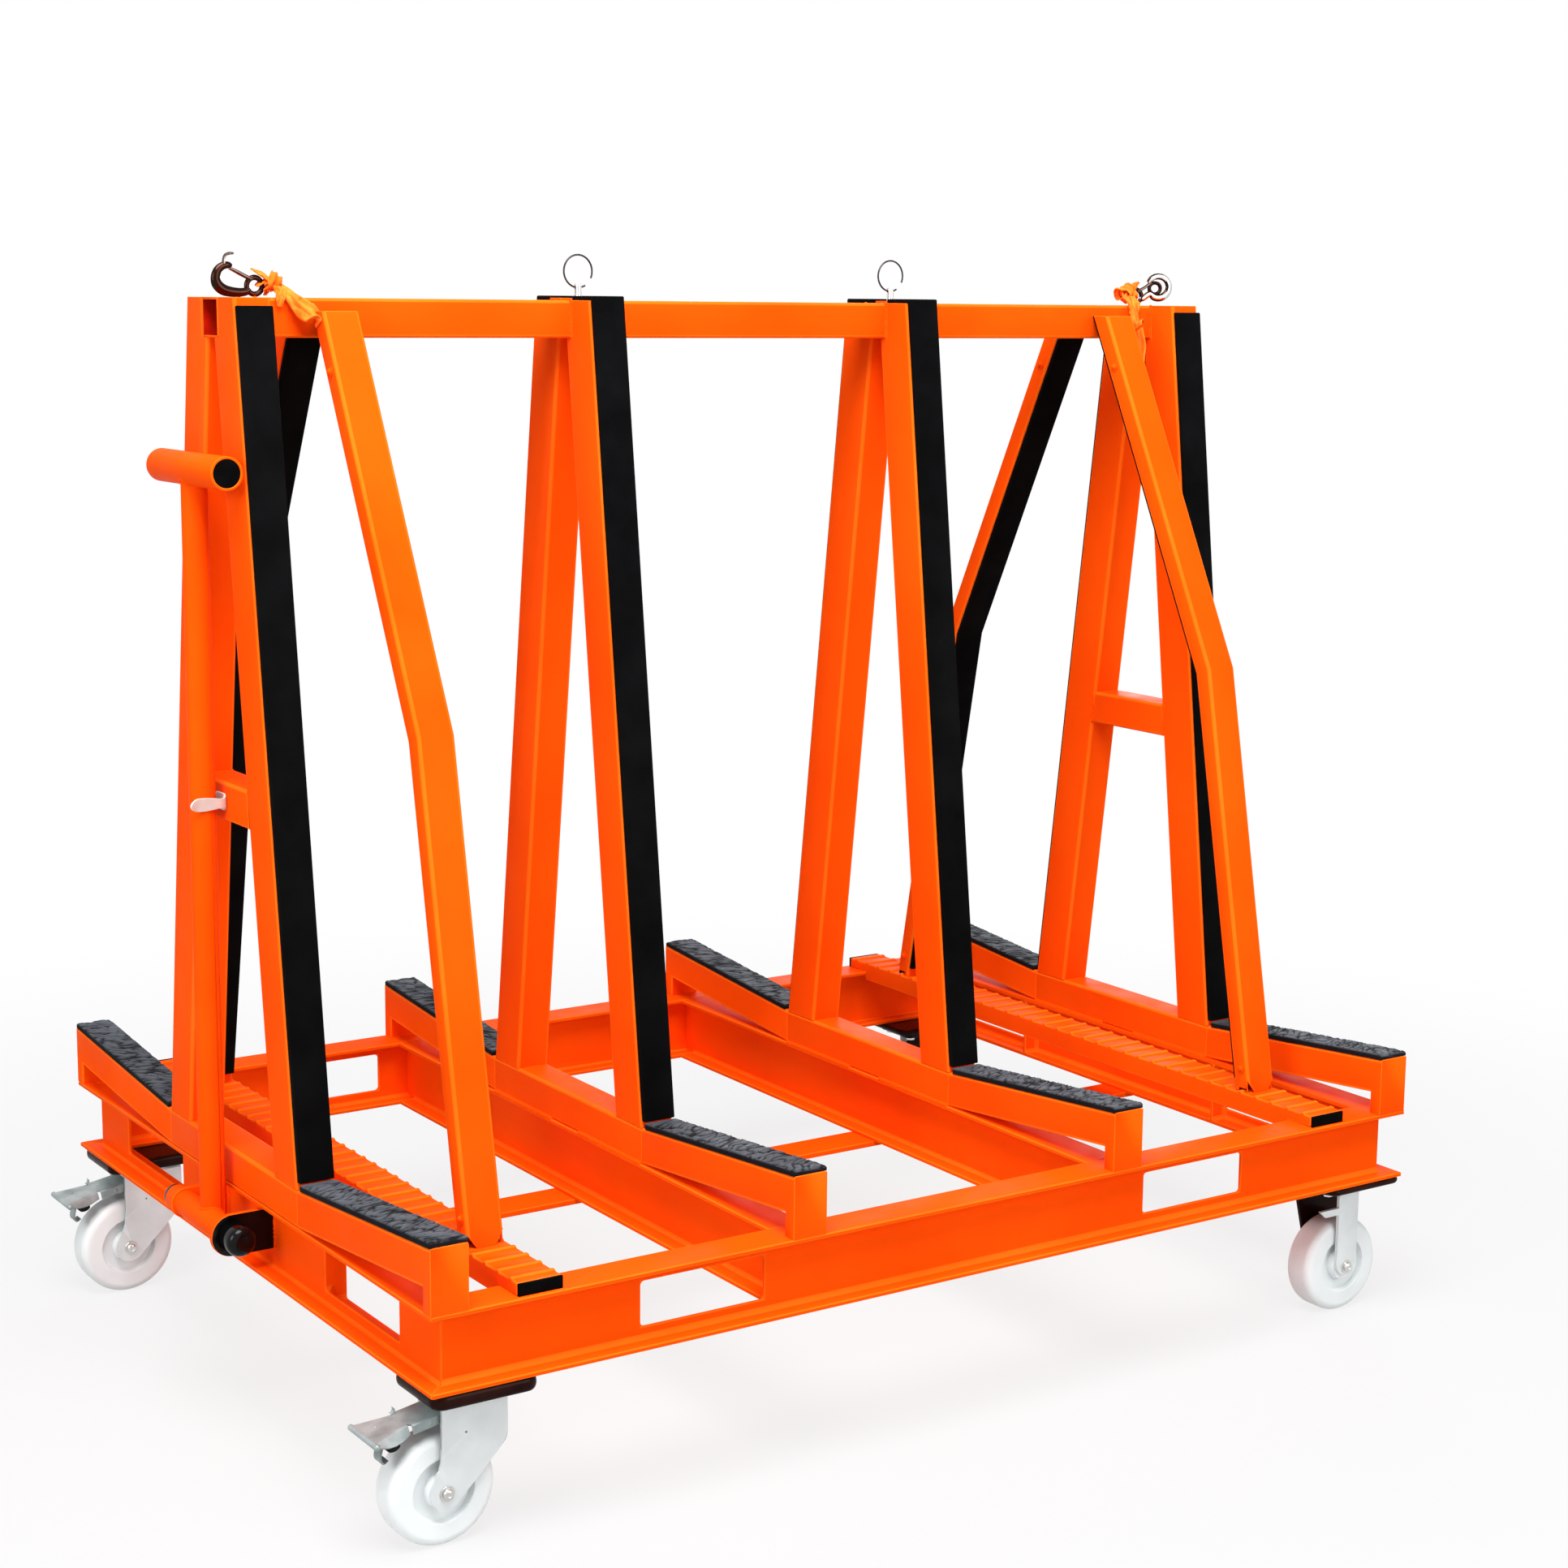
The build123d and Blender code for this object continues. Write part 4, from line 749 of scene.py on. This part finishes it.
# reach from the clip's back, place across and half height, in metres
leaf_line = ((0.0515, -0.0236, 0.0018), (0.0495, -0.0228, 0.0046), (0.0445, -0.0199, 0.0074), (0.0400, -0.0186, 0.0086),
             (0.0300, -0.0185, 0.0088), (0.0180, -0.0185, 0.0074), (0.0100, -0.0185, 0.0062), (0.0050, -0.0180, 0.0064),
             (0.0022, -0.0160, 0.0086), (0.0013, -0.0120, 0.0110), (0.0013, 0.0120, 0.0110), (0.0022, 0.0160, 0.0086),
             (0.0050, 0.0180, 0.0076), (0.0100, 0.0185, 0.0080), (0.0200, 0.0185, 0.0100), (0.0320, 0.0185, 0.0090))
rings = []
for k, (reach, across, half) in enumerate(leaf_line):
    after, before = leaf_line[min(k + 1, len(leaf_line) - 1)], leaf_line[max(k - 1, 0)]
    along = Vector((before[0] - after[0], after[1] - before[1])).normalized()
    ring = []
    for out, up in ((1, 1), (-1, 1), (-1, -1), (1, -1)):
        for cut_out, cut_up in ((0, leaf_corner), (leaf_corner, 0))[::out * up]:
            aside = out * (leaf_sheet - cut_out)
            ring.append((clip_high.x - reach - along.y * aside, across + along.x * aside,
                         clip_middle.z + up * (half - cut_up)))
    rings.append(ring)
shape = bmesh.new()
skinned(shape, rings)
drawn("pole_clip_sprung", shape, [leaf_zinc], "pole_clip")

# Pull pins: plated pins with rings of bent black wire, pushed down through the ridge bar.
# The rings are left open where the wire's ends meet.
wire_steel = plated_steel("black_wire_steel", (0.03, 0.028, 0.027), (0.07, 0.065, 0.06), 0.22, 0.36)
pin_round = 0.0004
for hand in ("left", "right"):
    softened(f"{hand}_pull_pin", "plated", [clip_steel], pin_round)
    softened(f"{hand}_pull_ring", "bent", [wire_steel], 0.0)

# Snap hooks: forged and polished, thick at the bend, with a thin spring gate on a pin through the eye's neck.
# They lie on the ridge bar's ends. The left one has a thumb piece; the right one is a chromed ring with a loop inside.
# The polished steel's dark brown colour is a painted dark reflection.
dark_reflection_steel = plated_steel("polished_hook_steel", (0.016, 0.006, 0.004), (0.050, 0.022, 0.016), 0.10, 0.20)
gate_steel = plated_steel("spring_gate_steel", (0.06, 0.040, 0.034), (0.20, 0.16, 0.14), 0.14, 0.26)
# reach from the eye, height and radius, in millimetres
hook_body = ((6.5, 10.0, 4.2), (11.0, 7.0, 5.0), (20.0, 5.7, 5.6), (32.0, 6.4, 6.4), (42.4, 9.2, 7.2),
             (49.6, 15.6, 7.3), (51.6, 24.0, 6.3), (48.8, 32.4, 5.6), (42.4, 37.8, 5.0), (34.6, 39.4, 4.2),
             (30.0, 38.2, 2.6))
hook_gate = ((5.0, 22.5, 2.5), (14.0, 26.6, 2.7), (24.0, 31.5, 2.5), (33.0, 35.6, 2.0))
hook_thumb = ((40.5, 41.0, 2.0), (40.0, 47.0, 1.7), (38.0, 51.5, 1.7), (33.0, 53.6, 2.0), (28.0, 53.8, 1.6))
hook_eye_centre, hook_eye_radius, hook_eye_wire = (0.0, 14.0), 10.4, 3.5
hook_pin, pin_radius, pin_half = (5.0, 22.5), 2.4, 4.4
body_flat, gate_flat, thumb_flat, eye_flat = 0.78, 1.8, 2.2, 0.9
chrome_steel = plated_steel("chromed_hook_steel", (0.62, 0.60, 0.57), (0.86, 0.84, 0.80), 0.05, 0.12)
ring_middle, ring_reach, ring_wide, ring_flat = (38.5, 28.0), 16.4, 1.12, 0.62
ring_turn, ring_shine = radians(15), 0.86
# turn round the ring in degrees, and radius of its rod
ring_rod = ((-140, 4.8), (-110, 5.4), (-80, 5.8), (-50, 5.9), (-20, 5.6), (10, 5.2), (40, 5.0), (70, 4.9), (100, 4.8),
            (130, 4.5), (155, 3.6))
ring_body = [(7.0, 11.0, 4.0), (13.0, 10.5, 4.4)]
for turn, wire in ring_rod:
    ring_body.append((ring_middle[0] + ring_wide * ring_reach * cos(radians(turn)),
                      ring_middle[1] + ring_reach * sin(radians(turn)), wire))
ring_gate = ((5.0, 22.5, 2.4), (12.0, 25.5, 2.6), (18.0, 29.0, 2.4), (23.0, 33.0, 2.0))
loop_middle, loop_reach, loop_high, loop_wire = (33.0, 26.0), 9.4, 0.9, 3.0
mm, eye_inset = 0.001, 0.014
body_steps, gate_steps, eye_steps, pin_sides, ring_sides = 6, 5, 32, 16, 20


def smoothed(stations, steps):
    """Rows of numbers on a smooth curve through the stations."""
    rows, last = [], len(stations) - 1
    for k in range(last):
        near = [stations[min(max(k + j, 0), last)] for j in (-1, 0, 1, 2)]
        for step in range(steps + (k == last - 1)):
            t = step / steps
            rows.append([0.5 * (2 * b + (c - a) * t + (2 * a - 5 * b + 4 * c - d) * t * t
                                + (3 * b - a - 3 * c + d) * t ** 3) for a, b, c, d in zip(*near)])
    return rows


def rod(shape, rows, place, flat, finish=0, closed=False, sides=14):
    """Rod of changing thickness along rows of reach, height and radius in an upright plane."""
    count, rings = len(rows), []
    for k, (reach, height, radius) in enumerate(rows):
        after = rows[(k + 1) % count] if closed else rows[min(k + 1, count - 1)]
        before = rows[k - 1] if closed else rows[max(k - 1, 0)]
        way = Vector((after[0] - before[0], after[1] - before[1])).normalized()
        rings.append([place(reach - way.y * (radius * c), height + way.x * (radius * c), flat * radius * s)
                      for c, s in circle(sides)])
    skinned(shape, rings, closed_path=closed, finish=finish)


for hand, way in (("left", -1), ("right", 1)):
    low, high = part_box(f"{hand}_hook")
    eye_x = (high.x if way < 0 else low.x) + way * eye_inset

    def on_bar(reach, height, across):
        """Place on the ridge bar's end, from millimetres along, up and across."""
        turn = ring_turn if way > 0 else 0.0
        return (eye_x + (way * reach * cos(turn) + across * sin(turn)) * mm,
                (across * cos(turn) - reach * sin(turn)) * mm, low.z + height * mm)

    shape = bmesh.new()
    if hand == "left":
        rod(shape, smoothed(hook_body, body_steps), on_bar, body_flat)
        rod(shape, smoothed(hook_gate, gate_steps), on_bar, gate_flat, finish=1)
        rod(shape, smoothed(hook_thumb, gate_steps), on_bar, thumb_flat, finish=1)
    else:
        rod(shape, smoothed(ring_body, gate_steps), on_bar, ring_flat, sides=ring_sides)
        # Painted reflections: the ring's flat sides take the bright chrome and its rounded edges the dark steel.
        for face in shape.faces:
            face.normal_update()
            face.material_index = 2 if abs(face.normal.y) > ring_shine else 0
        rod(shape, smoothed(ring_gate, gate_steps), on_bar, gate_flat, finish=1)
        loop = [(loop_middle[0] + loop_reach * c, loop_middle[1] + loop_reach * loop_high * s, loop_wire)
                for c, s in circle(eye_steps)]
        rod(shape, loop, on_bar, 1.0, closed=True)
    eye = [(hook_eye_centre[0] + hook_eye_radius * c, hook_eye_centre[1] + hook_eye_radius * s, hook_eye_wire)
           for c, s in circle(eye_steps)]
    rod(shape, eye, on_bar, eye_flat, closed=True)
    skinned(shape, [[on_bar(hook_pin[0] + pin_radius * c, hook_pin[1] + pin_radius * s, across)
                     for c, s in circle(pin_sides)] for across in (-pin_half, pin_half)])
    drawn(f"{hand}_hook_forged", shape, [dark_reflection_steel, gate_steel, chrome_steel], f"{hand}_hook")

# Straps: soft orange webbing, knotted through each hook's eye, creased over the ridge bar's front edge
# and held on the side of the post below it. Each ends in a short loose tail.
strap_cloth = surface("orange_webbing", ((0.86, 0.110, 0.003), (1.0, 0.270, 0.030)), clouds=(60, 4, 0.3, 0.7),
                      gloss=(0.6, 0.8), shine=(200, 3), grain=(900, 3, 0.4, 0.0006),
                      fixed={"Specular IOR Level": 0.06})
strap_sheet, strap_threads, strap_steps = 0.0013, 13, 7
pleat_waves, pleat_sway, crumple, hand_seed, run_seed = 6.5, 0.9, 0.8, 11.0, 3.0
cart_middle_x = (base_low.x + base_high.x) / 2
# place, way across, half width and pleat height, in metres, for the left end
band = ((-0.695, 0, 1.472, 0, 1, 0.2, 0.005, 0.0006), (-0.686, -0.0015, 1.4775, 0, 1, 0.3, 0.0065, 0.0014),
        (-0.6765, -0.006, 1.4772, 0.3, 1, 0.4, 0.0075, 0.0018),
        (-0.668, -0.0165, 1.4705, 0.8, 0.7, 0.5, 0.0072, 0.0018), (-0.661, -0.0305, 1.459, 1, 0.1, 0.6, 0.0078, 0.002),
        (-0.653, -0.0355, 1.4485, 0.9, 0, 0.9, 0.0115, 0.0026), (-0.645, -0.044, 1.4395, 0.5, 0.3, 1, 0.0135, 0.0022),
        (-0.6385, -0.0535, 1.432, 0, 0.85, 0.3, 0.0115, 0.0008),
        (-0.6374, -0.058, 1.425, 0, 0.89, -0.45, 0.009, 0.0004))
wrap = ((-0.685, -0.007, 1.469, 0.7, 0, 0.5, 0.007, 0.0012), (-0.68, -0.015, 1.474, 0.7, -0.2, 0.5, 0.008, 0.0018),
        (-0.674, -0.015, 1.483, 0.7, -0.2, -0.4, 0.0085, 0.0018),
        (-0.669, -0.005, 1.486, 0.7, 0.1, -0.6, 0.008, 0.0014), (-0.669, 0.006, 1.48, 0.7, 0.2, 0.2, 0.0075, 0.0014),
        (-0.674, 0.007, 1.469, 0.7, 0.2, 0.5, 0.007, 0.0012), (-0.68, -0.001, 1.464, 0.7, 0, 0.6, 0.007, 0.0012))
ear = ((-0.679, -0.006, 1.479, 0.2, 0.9, 0.3, 0.006, 0.0012), (-0.687, -0.005, 1.485, 0.2, 0.9, 0.4, 0.0058, 0.0014),
       (-0.695, -0.003, 1.49, 0.1, 0.9, 0.5, 0.004, 0.001), (-0.703, -0.002, 1.4935, 0, 0.9, 0.5, 0.001, 0.0002))
flap = ((-0.675, -0.018, 1.472, 0.9, 0.2, 0.2, 0.005, 0.001), (-0.6745, -0.0275, 1.464, 0.9, 0.1, 0.3, 0.0068, 0.0014),
        (-0.6755, -0.0295, 1.456, 0.9, 0, 0.3, 0.0062, 0.0012), (-0.677, -0.029, 1.4465, 0.9, 0, 0.4, 0.003, 0.0004))
tail = ((-0.6374, -0.06, 1.421, 0, 0.89, -0.45, 0.01, 0.0004),
        (-0.6372, -0.0735, 1.395, 0, 0.89, -0.45, 0.011, 0.0004),
        (-0.6374, -0.08, 1.383, 0, 0.88, -0.46, 0.0105, 0.0006),
        (-0.6382, -0.085, 1.372, 0.1, 0.86, -0.4, 0.0085, 0.001))
# how far the right strap stands out from the post's side, along the band and the tail
band_slack = (0.0, 0.0, 0.0, 0.0, 0.004, 0.011, 0.016, 0.018, 0.018)
tail_slack = (0.0175, 0.0125, 0.006, 0.0)


def ribbon(shape, stations, mirror, seed):
    """Band of webbing with pleats along it, through stations."""
    rows, bands = [], smoothed(stations, strap_steps)
    for k, (x, y, z, wx, wy, wz, half, pleat) in enumerate(bands):
        centre, wide = Vector((x, y, z)), Vector((wx, wy, wz)).normalized()
        ahead = (Vector(bands[min(k + 1, len(bands) - 1)][:3]) - Vector(bands[max(k - 1, 0)][:3])).normalized()
        wide = (wide - ahead * wide.dot(ahead)).normalized()
        proud = ahead.cross(wide)
        row = []
        for j in range(strap_threads):
            s = 2 * j / (strap_threads - 1) - 1
            wave = sin(s * pleat_waves + pleat_sway * noise.noise(Vector((k * 0.16, s, seed))) * 3.0)
            rise = pleat * (wave + crumple * noise.noise(Vector((k * 0.35, s * 1.6, seed + 5.0))))
            point = centre + wide * (s * half) + proud * rise
            if mirror:
                point.x = 2 * cart_middle_x - point.x
            row.append(point)
        rows.append(row)
    skinned(shape, rows, closed_ring=False, capped=False)


def slack(stations, shifts):
    """Stations of a band moved away from the post."""
    return [(station[0] - shift, *station[1:]) for station, shift in zip(stations, shifts)]


left_runs = (band, wrap, ear, flap)
right_runs = (slack(band, band_slack), wrap, ear, flap, slack(tail, tail_slack))
for seed, (hand, mirror, runs) in enumerate((("left", False, left_runs), ("right", True, right_runs))):
    shape = bmesh.new()
    for k, run in enumerate(runs):
        ribbon(shape, run, mirror, hand_seed * seed + run_seed * k)
    bmesh.ops.recalc_face_normals(shape, faces=shape.faces)
    strap = new_piece(f"{hand}_strap_woven", shape, [strap_cloth])
    strap.data.shade_smooth()
    cloth = strap.modifiers.new("cloth", "SOLIDIFY")
    cloth.thickness, cloth.offset = strap_sheet, 0.0
    settled(strap, f"{hand}_strap")

# Spacers: thick pressed plates with a rolled rim, black enamelled, between the base and the casters.
# A swivel caster's own plate sits inside the rim; over the fixed casters the plates are plain.


def quarter_boxes(node):
    """Lowest and highest corners of the pieces of a node that stand in the cart's four corners."""
    corners = {}
    for point in frame["nodes"][node].data.vertices:
        corners.setdefault((point.co.x > cart_middle_x, point.co.y > 0), []).append(point.co)
    return {corner: [Vector([pick(point[axis] for point in points) for axis in range(3)]) for pick in (min, max)]
            for corner, points in corners.items()}


def round_outline(middle, half, corner, inset, level):
    """Points round a rectangle with round corners, drawn in by an inset."""
    ring = []
    for quarter, (sx, sy) in enumerate(((1, 1), (-1, 1), (-1, -1), (1, -1))):
        for k in range(corner_steps + 1):
            turn = pi / 2 * (quarter + k / corner_steps)
            ring.append((middle.x + sx * (half[0] - corner) + (corner - inset) * cos(turn),
                         middle.y + sy * (half[1] - corner) + (corner - inset) * sin(turn), level))
    return ring


black_enamel = surface("black_spacer_enamel", ((0.010, 0.002, 0.0015), (0.022, 0.006, 0.004)),
                       clouds=(30, 4, 0.3, 0.7), gloss=(0.12, 0.28), shine=(50, 3), grain=(120, 3, 0.25, 0.0010),
                       fixed={"IOR": 1.13})
nose_reach, nose_steps, rim_drop, spacer_corner, corner_steps = 0.0046, 10, 0.0078, 0.017, 8
seat_half, seat_corner = (0.0556, 0.0431), 0.0086
bolted = quarter_boxes("caster_bolts")
shape = bmesh.new()
for corner, (low, high) in quarter_boxes("spacer_plates").items():
    middle, half = (low + high) / 2, ((high.x - low.x) / 2, (high.y - low.y) / 2)
    seat = sum(bolted[corner], Vector()) / 2
    drop = 0.0 if corner[0] else rim_drop
    nose = (high.z - low.z + drop) / 2
    rings = []
    for turn in (pi * k / nose_steps for k in range(nose_steps + 1)):
        inset, level = nose_reach * (1 - sin(turn)), high.z - nose * (1 - cos(turn))
        rings.append(round_outline(middle, half, spacer_corner, inset, level))
    if drop:
        rings += [round_outline(seat, seat_half, seat_corner, 0.0, level) for level in (low.z - drop, low.z)]
    skinned(shape, rings)
drawn("spacer_plates_enamelled", shape, [black_enamel], "spacer_plates", flat=True)

# Caster forks and heads: thick pressed steel, zinc plated and dull, with bolts, axles and a brake pin.
# The fixed forks' plates are black, their inner cheeks take the black enamel as painted shade inside the fork, and the
# axles' ends are riveted over washers.


def dull_zinc(name, deep, light, low_gloss, high_gloss):
    """Dull zinc plating, partly matt, with faint clouds."""
    return surface(name, (deep, light), clouds=(28, 5, 0.3, 0.75), gloss=(low_gloss, high_gloss), shine=(60, 4),
                   grain=(400, 3, 0.10, 0.0003), fixed={"Metallic": 0.35})


def plain(node, word, finishes, pick=None):
    """Copy of a CAD node with its faces merged and its sharp edges kept, in one or two finishes."""
    shape = merged(node)
    for face in shape.faces:
        face.material_index = 1 if pick and pick(face.calc_center_median()) else 0
    return drawn(f"{node}_{word}", shape, finishes, node, flat=True, outward=False)


fork_zinc = dull_zinc("pale_fork_zinc", (0.645, 0.68, 0.69), (0.74, 0.78, 0.78), 0.36, 0.50)
inner_cheek, fixed_plate = 0.492, 0.189
for node in ("swivel_heads", "front_swivel_fork", "rear_swivel_fork"):
    plain(node, "plated", [fork_zinc])
# The fixed forks' plates and inner cheeks take the black enamel; on the inner cheeks it is painted shade.
plain("fixed_forks", "plated", [fork_zinc, black_enamel],
      lambda spot: abs(spot.y) < inner_cheek or spot.z > fixed_plate)
bolt_zinc = plated_steel("bolt_zinc", (0.55, 0.54, 0.52), (0.72, 0.71, 0.68), 0.22, 0.36)
bolt_round = 0.0005
softened("caster_bolts", "plated", [bolt_zinc], bolt_round)
axle_head, shaft_radius, washer_radius, washer_sheet, washer_round = 0.007, 0.0059, 0.0096, 0.0022, 0.0004
# height of the riveted end, as a share, and radius
rivet_end = ((0.0, 0.0070), (0.45, 0.0068), (0.75, 0.0060), (0.92, 0.0048), (1.0, 0.0034), (0.90, 0.0030),
             (0.82, 0.0014))
for node in ("fixed_axles", "front_swivel_axle", "rear_swivel_axle"):
    shape = bmesh.new()
    for low, high in quarter_boxes(node).values():
        middle, half = (low + high) / 2, (high.y - low.y) / 2
        cheek = half - axle_head
        top = cheek + washer_sheet
        end = [(cheek, shaft_radius), (cheek, washer_radius - washer_round), (cheek + washer_round, washer_radius),
               (top - washer_round, washer_radius), (top, washer_radius - washer_round)]
        end += [(top + share * (half - cheek - washer_sheet), radius) for share, radius in rivet_end]
        stations = [(-y, radius) for y, radius in reversed(end)] + end
        turned(shape, [(middle.y + y, radius) for y, radius in stations], middle)
    drawn(f"{node}_riveted", shape, [bolt_zinc], node)

# Brake pedals: pressed from thick sheet, with a channel that pivots between the fork's cheeks, slots, and a tread
# with sloping skirts and a rolled lip. A black rubber roll under the tread brakes the wheel.
pedal_zinc = dull_zinc("pressed_pedal_zinc", (0.17, 0.205, 0.205), (0.43, 0.50, 0.50), 0.36, 0.52)
shoe_rubber = moulded_plastic("black_shoe_rubber", (0.006, 0.006, 0.006), (0.014, 0.014, 0.014), 0.55)
pedal_pin_x, pedal_pin_z, pedal_middle, pedal_fall = -0.7155, 0.163, 0.512, radians(10)
pedal_sheet, channel_half, channel_top, channel_foot = 2.4, 23.6, 7.0, -6.0
# reach, half width of the top, half width and height of the skirt's edge, in millimetres
tread_rows = ((50.0, 19.5, 23.6, -4.5), (56.0, 20.5, 27.5, -4.5), (64.0, 22.5, 32.5, -4.2), (74.0, 25.5, 37.0, -3.5),
              (84.0, 28.5, 38.8, -1.5), (92.0, 31.0, 38.8, 1.5), (97.0, 32.5, 38.8, 3.5))
channel_side = channel_half + 0.2
channel_rows = tuple((reach, channel_half, channel_side, channel_foot)
                     for reach in (-10.0, 0.0, 12.0, 24.0, 36.0, 46.0))
bridge = range(4, 9)  # the section's strips that cross the slots between channel and tread
lip_reach, lip_height, lip_radius, lip_half = 97.8, 3.1, 4.0, 39.0
roll_reach, roll_height, roll_long, roll_thick, roll_half = 77.0, -6.5, 8.5, 5.2, 36.0
foot_near, foot_far, foot_thick, foot_lean = -24.0, -7.0, 2.4, 0.6
foot_line = ((86.0, 1.0), (89.0, -8.0), (92.5, -17.0), (93.0, -23.0), (89.5, -27.0), (85.0, -25.0))
# radius and height of the rings of the channel's rivets and of the tread's stud
rivet_rings, rivet_reach, rivet_drop = ((3.6, -0.5), (3.4, 0.9), (2.4, 1.7), (0.8, 2.0)), 24.0, 0.5
stud_rings, stud_reach, stud_across = ((2.6, -0.5), (2.3, 0.7), (1.4, 1.2), (0.4, 1.35)), 80.0, 6.0
curl_reach, curl_radius, curl_near, curl_far, curl_thick, curl_rise = 52.0, 5.0, 17.0, 23.0, 1.2, 1.4
foot_steps, bar_sides, rivet_sides, stud_sides = 4, 20, 16, 14
# place from the end and share of the thickness, for a bar's rounded ends
bar_end = ((0.0, 0.3), (1.0, 0.75), (3.0, 1.0))


def pressed_section(top_half, skirt_half, skirt_foot):
    """Half of a pressed section, from the skirt's edge to the middle of the top."""
    return [(skirt_half, skirt_foot), ((skirt_half + top_half) / 2 + 0.6, (skirt_foot + channel_top) / 2),
            (top_half + 1.1, channel_top - 1.7), (top_half - 0.2, channel_top - 0.3), (top_half - 2.4, channel_top),
            (top_half * 0.55, channel_top), (top_half * 0.2, channel_top)]


for row, middle_y in (("front", -pedal_middle), ("rear", pedal_middle)):
    def on_pedal(reach, across, height):
        """Place on the pedal, from millimetres along its tread, across and up."""
        return (pedal_pin_x - (reach * cos(pedal_fall) + height * sin(pedal_fall)) * mm, middle_y + across * mm,
                pedal_pin_z + (height * cos(pedal_fall) - reach * sin(pedal_fall)) * mm)

    shape = bmesh.new()
    rows = []
    for reach, *sizes in channel_rows + tread_rows:
        half = pressed_section(*sizes)
        whole = [(-across, height) for across, height in half] + half[::-1]
        rows.append([shape.verts.new(on_pedal(reach, across, height)) for across, height in whole])
    for k, (near, far) in enumerate(zip(rows, rows[1:])):
        for j in range(len(near) - 1):
            if k != len(channel_rows) - 1 or j in bridge:
                shape.faces.new((near[j], near[j + 1], far[j + 1], far[j]))
    bmesh.ops.recalc_face_normals(shape, faces=shape.faces)
    shape.faces.ensure_lookup_table()
    if sum(face.normal.z for face in shape.faces) < 0:
        bmesh.ops.reverse_faces(shape, faces=shape.faces)
    bmesh.ops.solidify(shape, geom=list(shape.faces), thickness=pedal_sheet * mm)
    pressed = len(shape.faces)

    def bar(line, half, size, finish):
        """Bar across the pedal with rounded ends: its place, half length, section and finish."""
        ends = [(-half + inset, swell) for inset, swell in bar_end]
        ends += [(half - inset, swell) for inset, swell in reversed(bar_end)]
        skinned(shape, [[on_pedal(line[0] + size[0] * swell * c, across, line[1] + size[1] * swell * s)
                         for c, s in circle(bar_sides)] for across, swell in ends], finish=finish)

    bar((lip_reach, lip_height), lip_half, (lip_radius, lip_radius), 0)
    bar((roll_reach, roll_height), roll_half, (roll_long, roll_thick), 1)
    skinned(shape, [[on_pedal(reach, foot_near, height), on_pedal(reach, foot_far, height),
                     on_pedal(reach - foot_thick, foot_far, height + foot_lean),
                     on_pedal(reach - foot_thick, foot_near, height + foot_lean)]
                    for reach, height in smoothed(foot_line, foot_steps)])
    for out in (-1, 1):
        skinned(shape, [[on_pedal(rivet_reach + size * c, out * channel_side + out * proud, size * s - rivet_drop)
                         for c, s in circle(rivet_sides)] for size, proud in rivet_rings])
    skinned(shape, [[on_pedal(stud_reach + size * c, stud_across + size * s, channel_top + proud)
                     for c, s in circle(stud_sides)] for size, proud in stud_rings])
    curl = [(curl_reach - curl_radius * sin(turn), channel_top + curl_radius * (1 - cos(turn)))
            for turn in (0.0, 0.5, 1.0, 1.5, 2.0)]
    skinned(shape, [[on_pedal(reach, curl_near, height), on_pedal(reach, curl_far, height),
                     on_pedal(reach + curl_thick, curl_far, height + curl_rise),
                     on_pedal(reach + curl_thick, curl_near, height + curl_rise)] for reach, height in curl])
    shape.faces.ensure_lookup_table()
    bmesh.ops.recalc_face_normals(shape, faces=shape.faces[pressed:])
    drawn(f"{row}_brake_pedal_pressed", shape, [pedal_zinc, shoe_rubber], f"{row}_brake_pedal", outward=False)

# Wheels: solid white nylon, turned, with a hollow round the hub.
# They run on the axles between the forks' cheeks.
white_nylon = surface("white_wheel_nylon", ((0.75, 0.79, 0.795), (0.81, 0.85, 0.855)), clouds=(18, 4, 0.3, 0.7),
                      gloss=(0.34, 0.46), shine=(60, 3), grain=(300, 3, 0.1, 0.0003))
for row in ("front", "rear"):
    for hand in ("left", "right"):
        softened(f"{row}_{hand}_wheel", "turned", [white_nylon], 0.0)

# Sizes of the CAD model and of the dressed model, in metres.
low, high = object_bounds()
sizes = {"cad": [list(cad_low), list(cad_high)], "visual": [list(low), list(high)]}
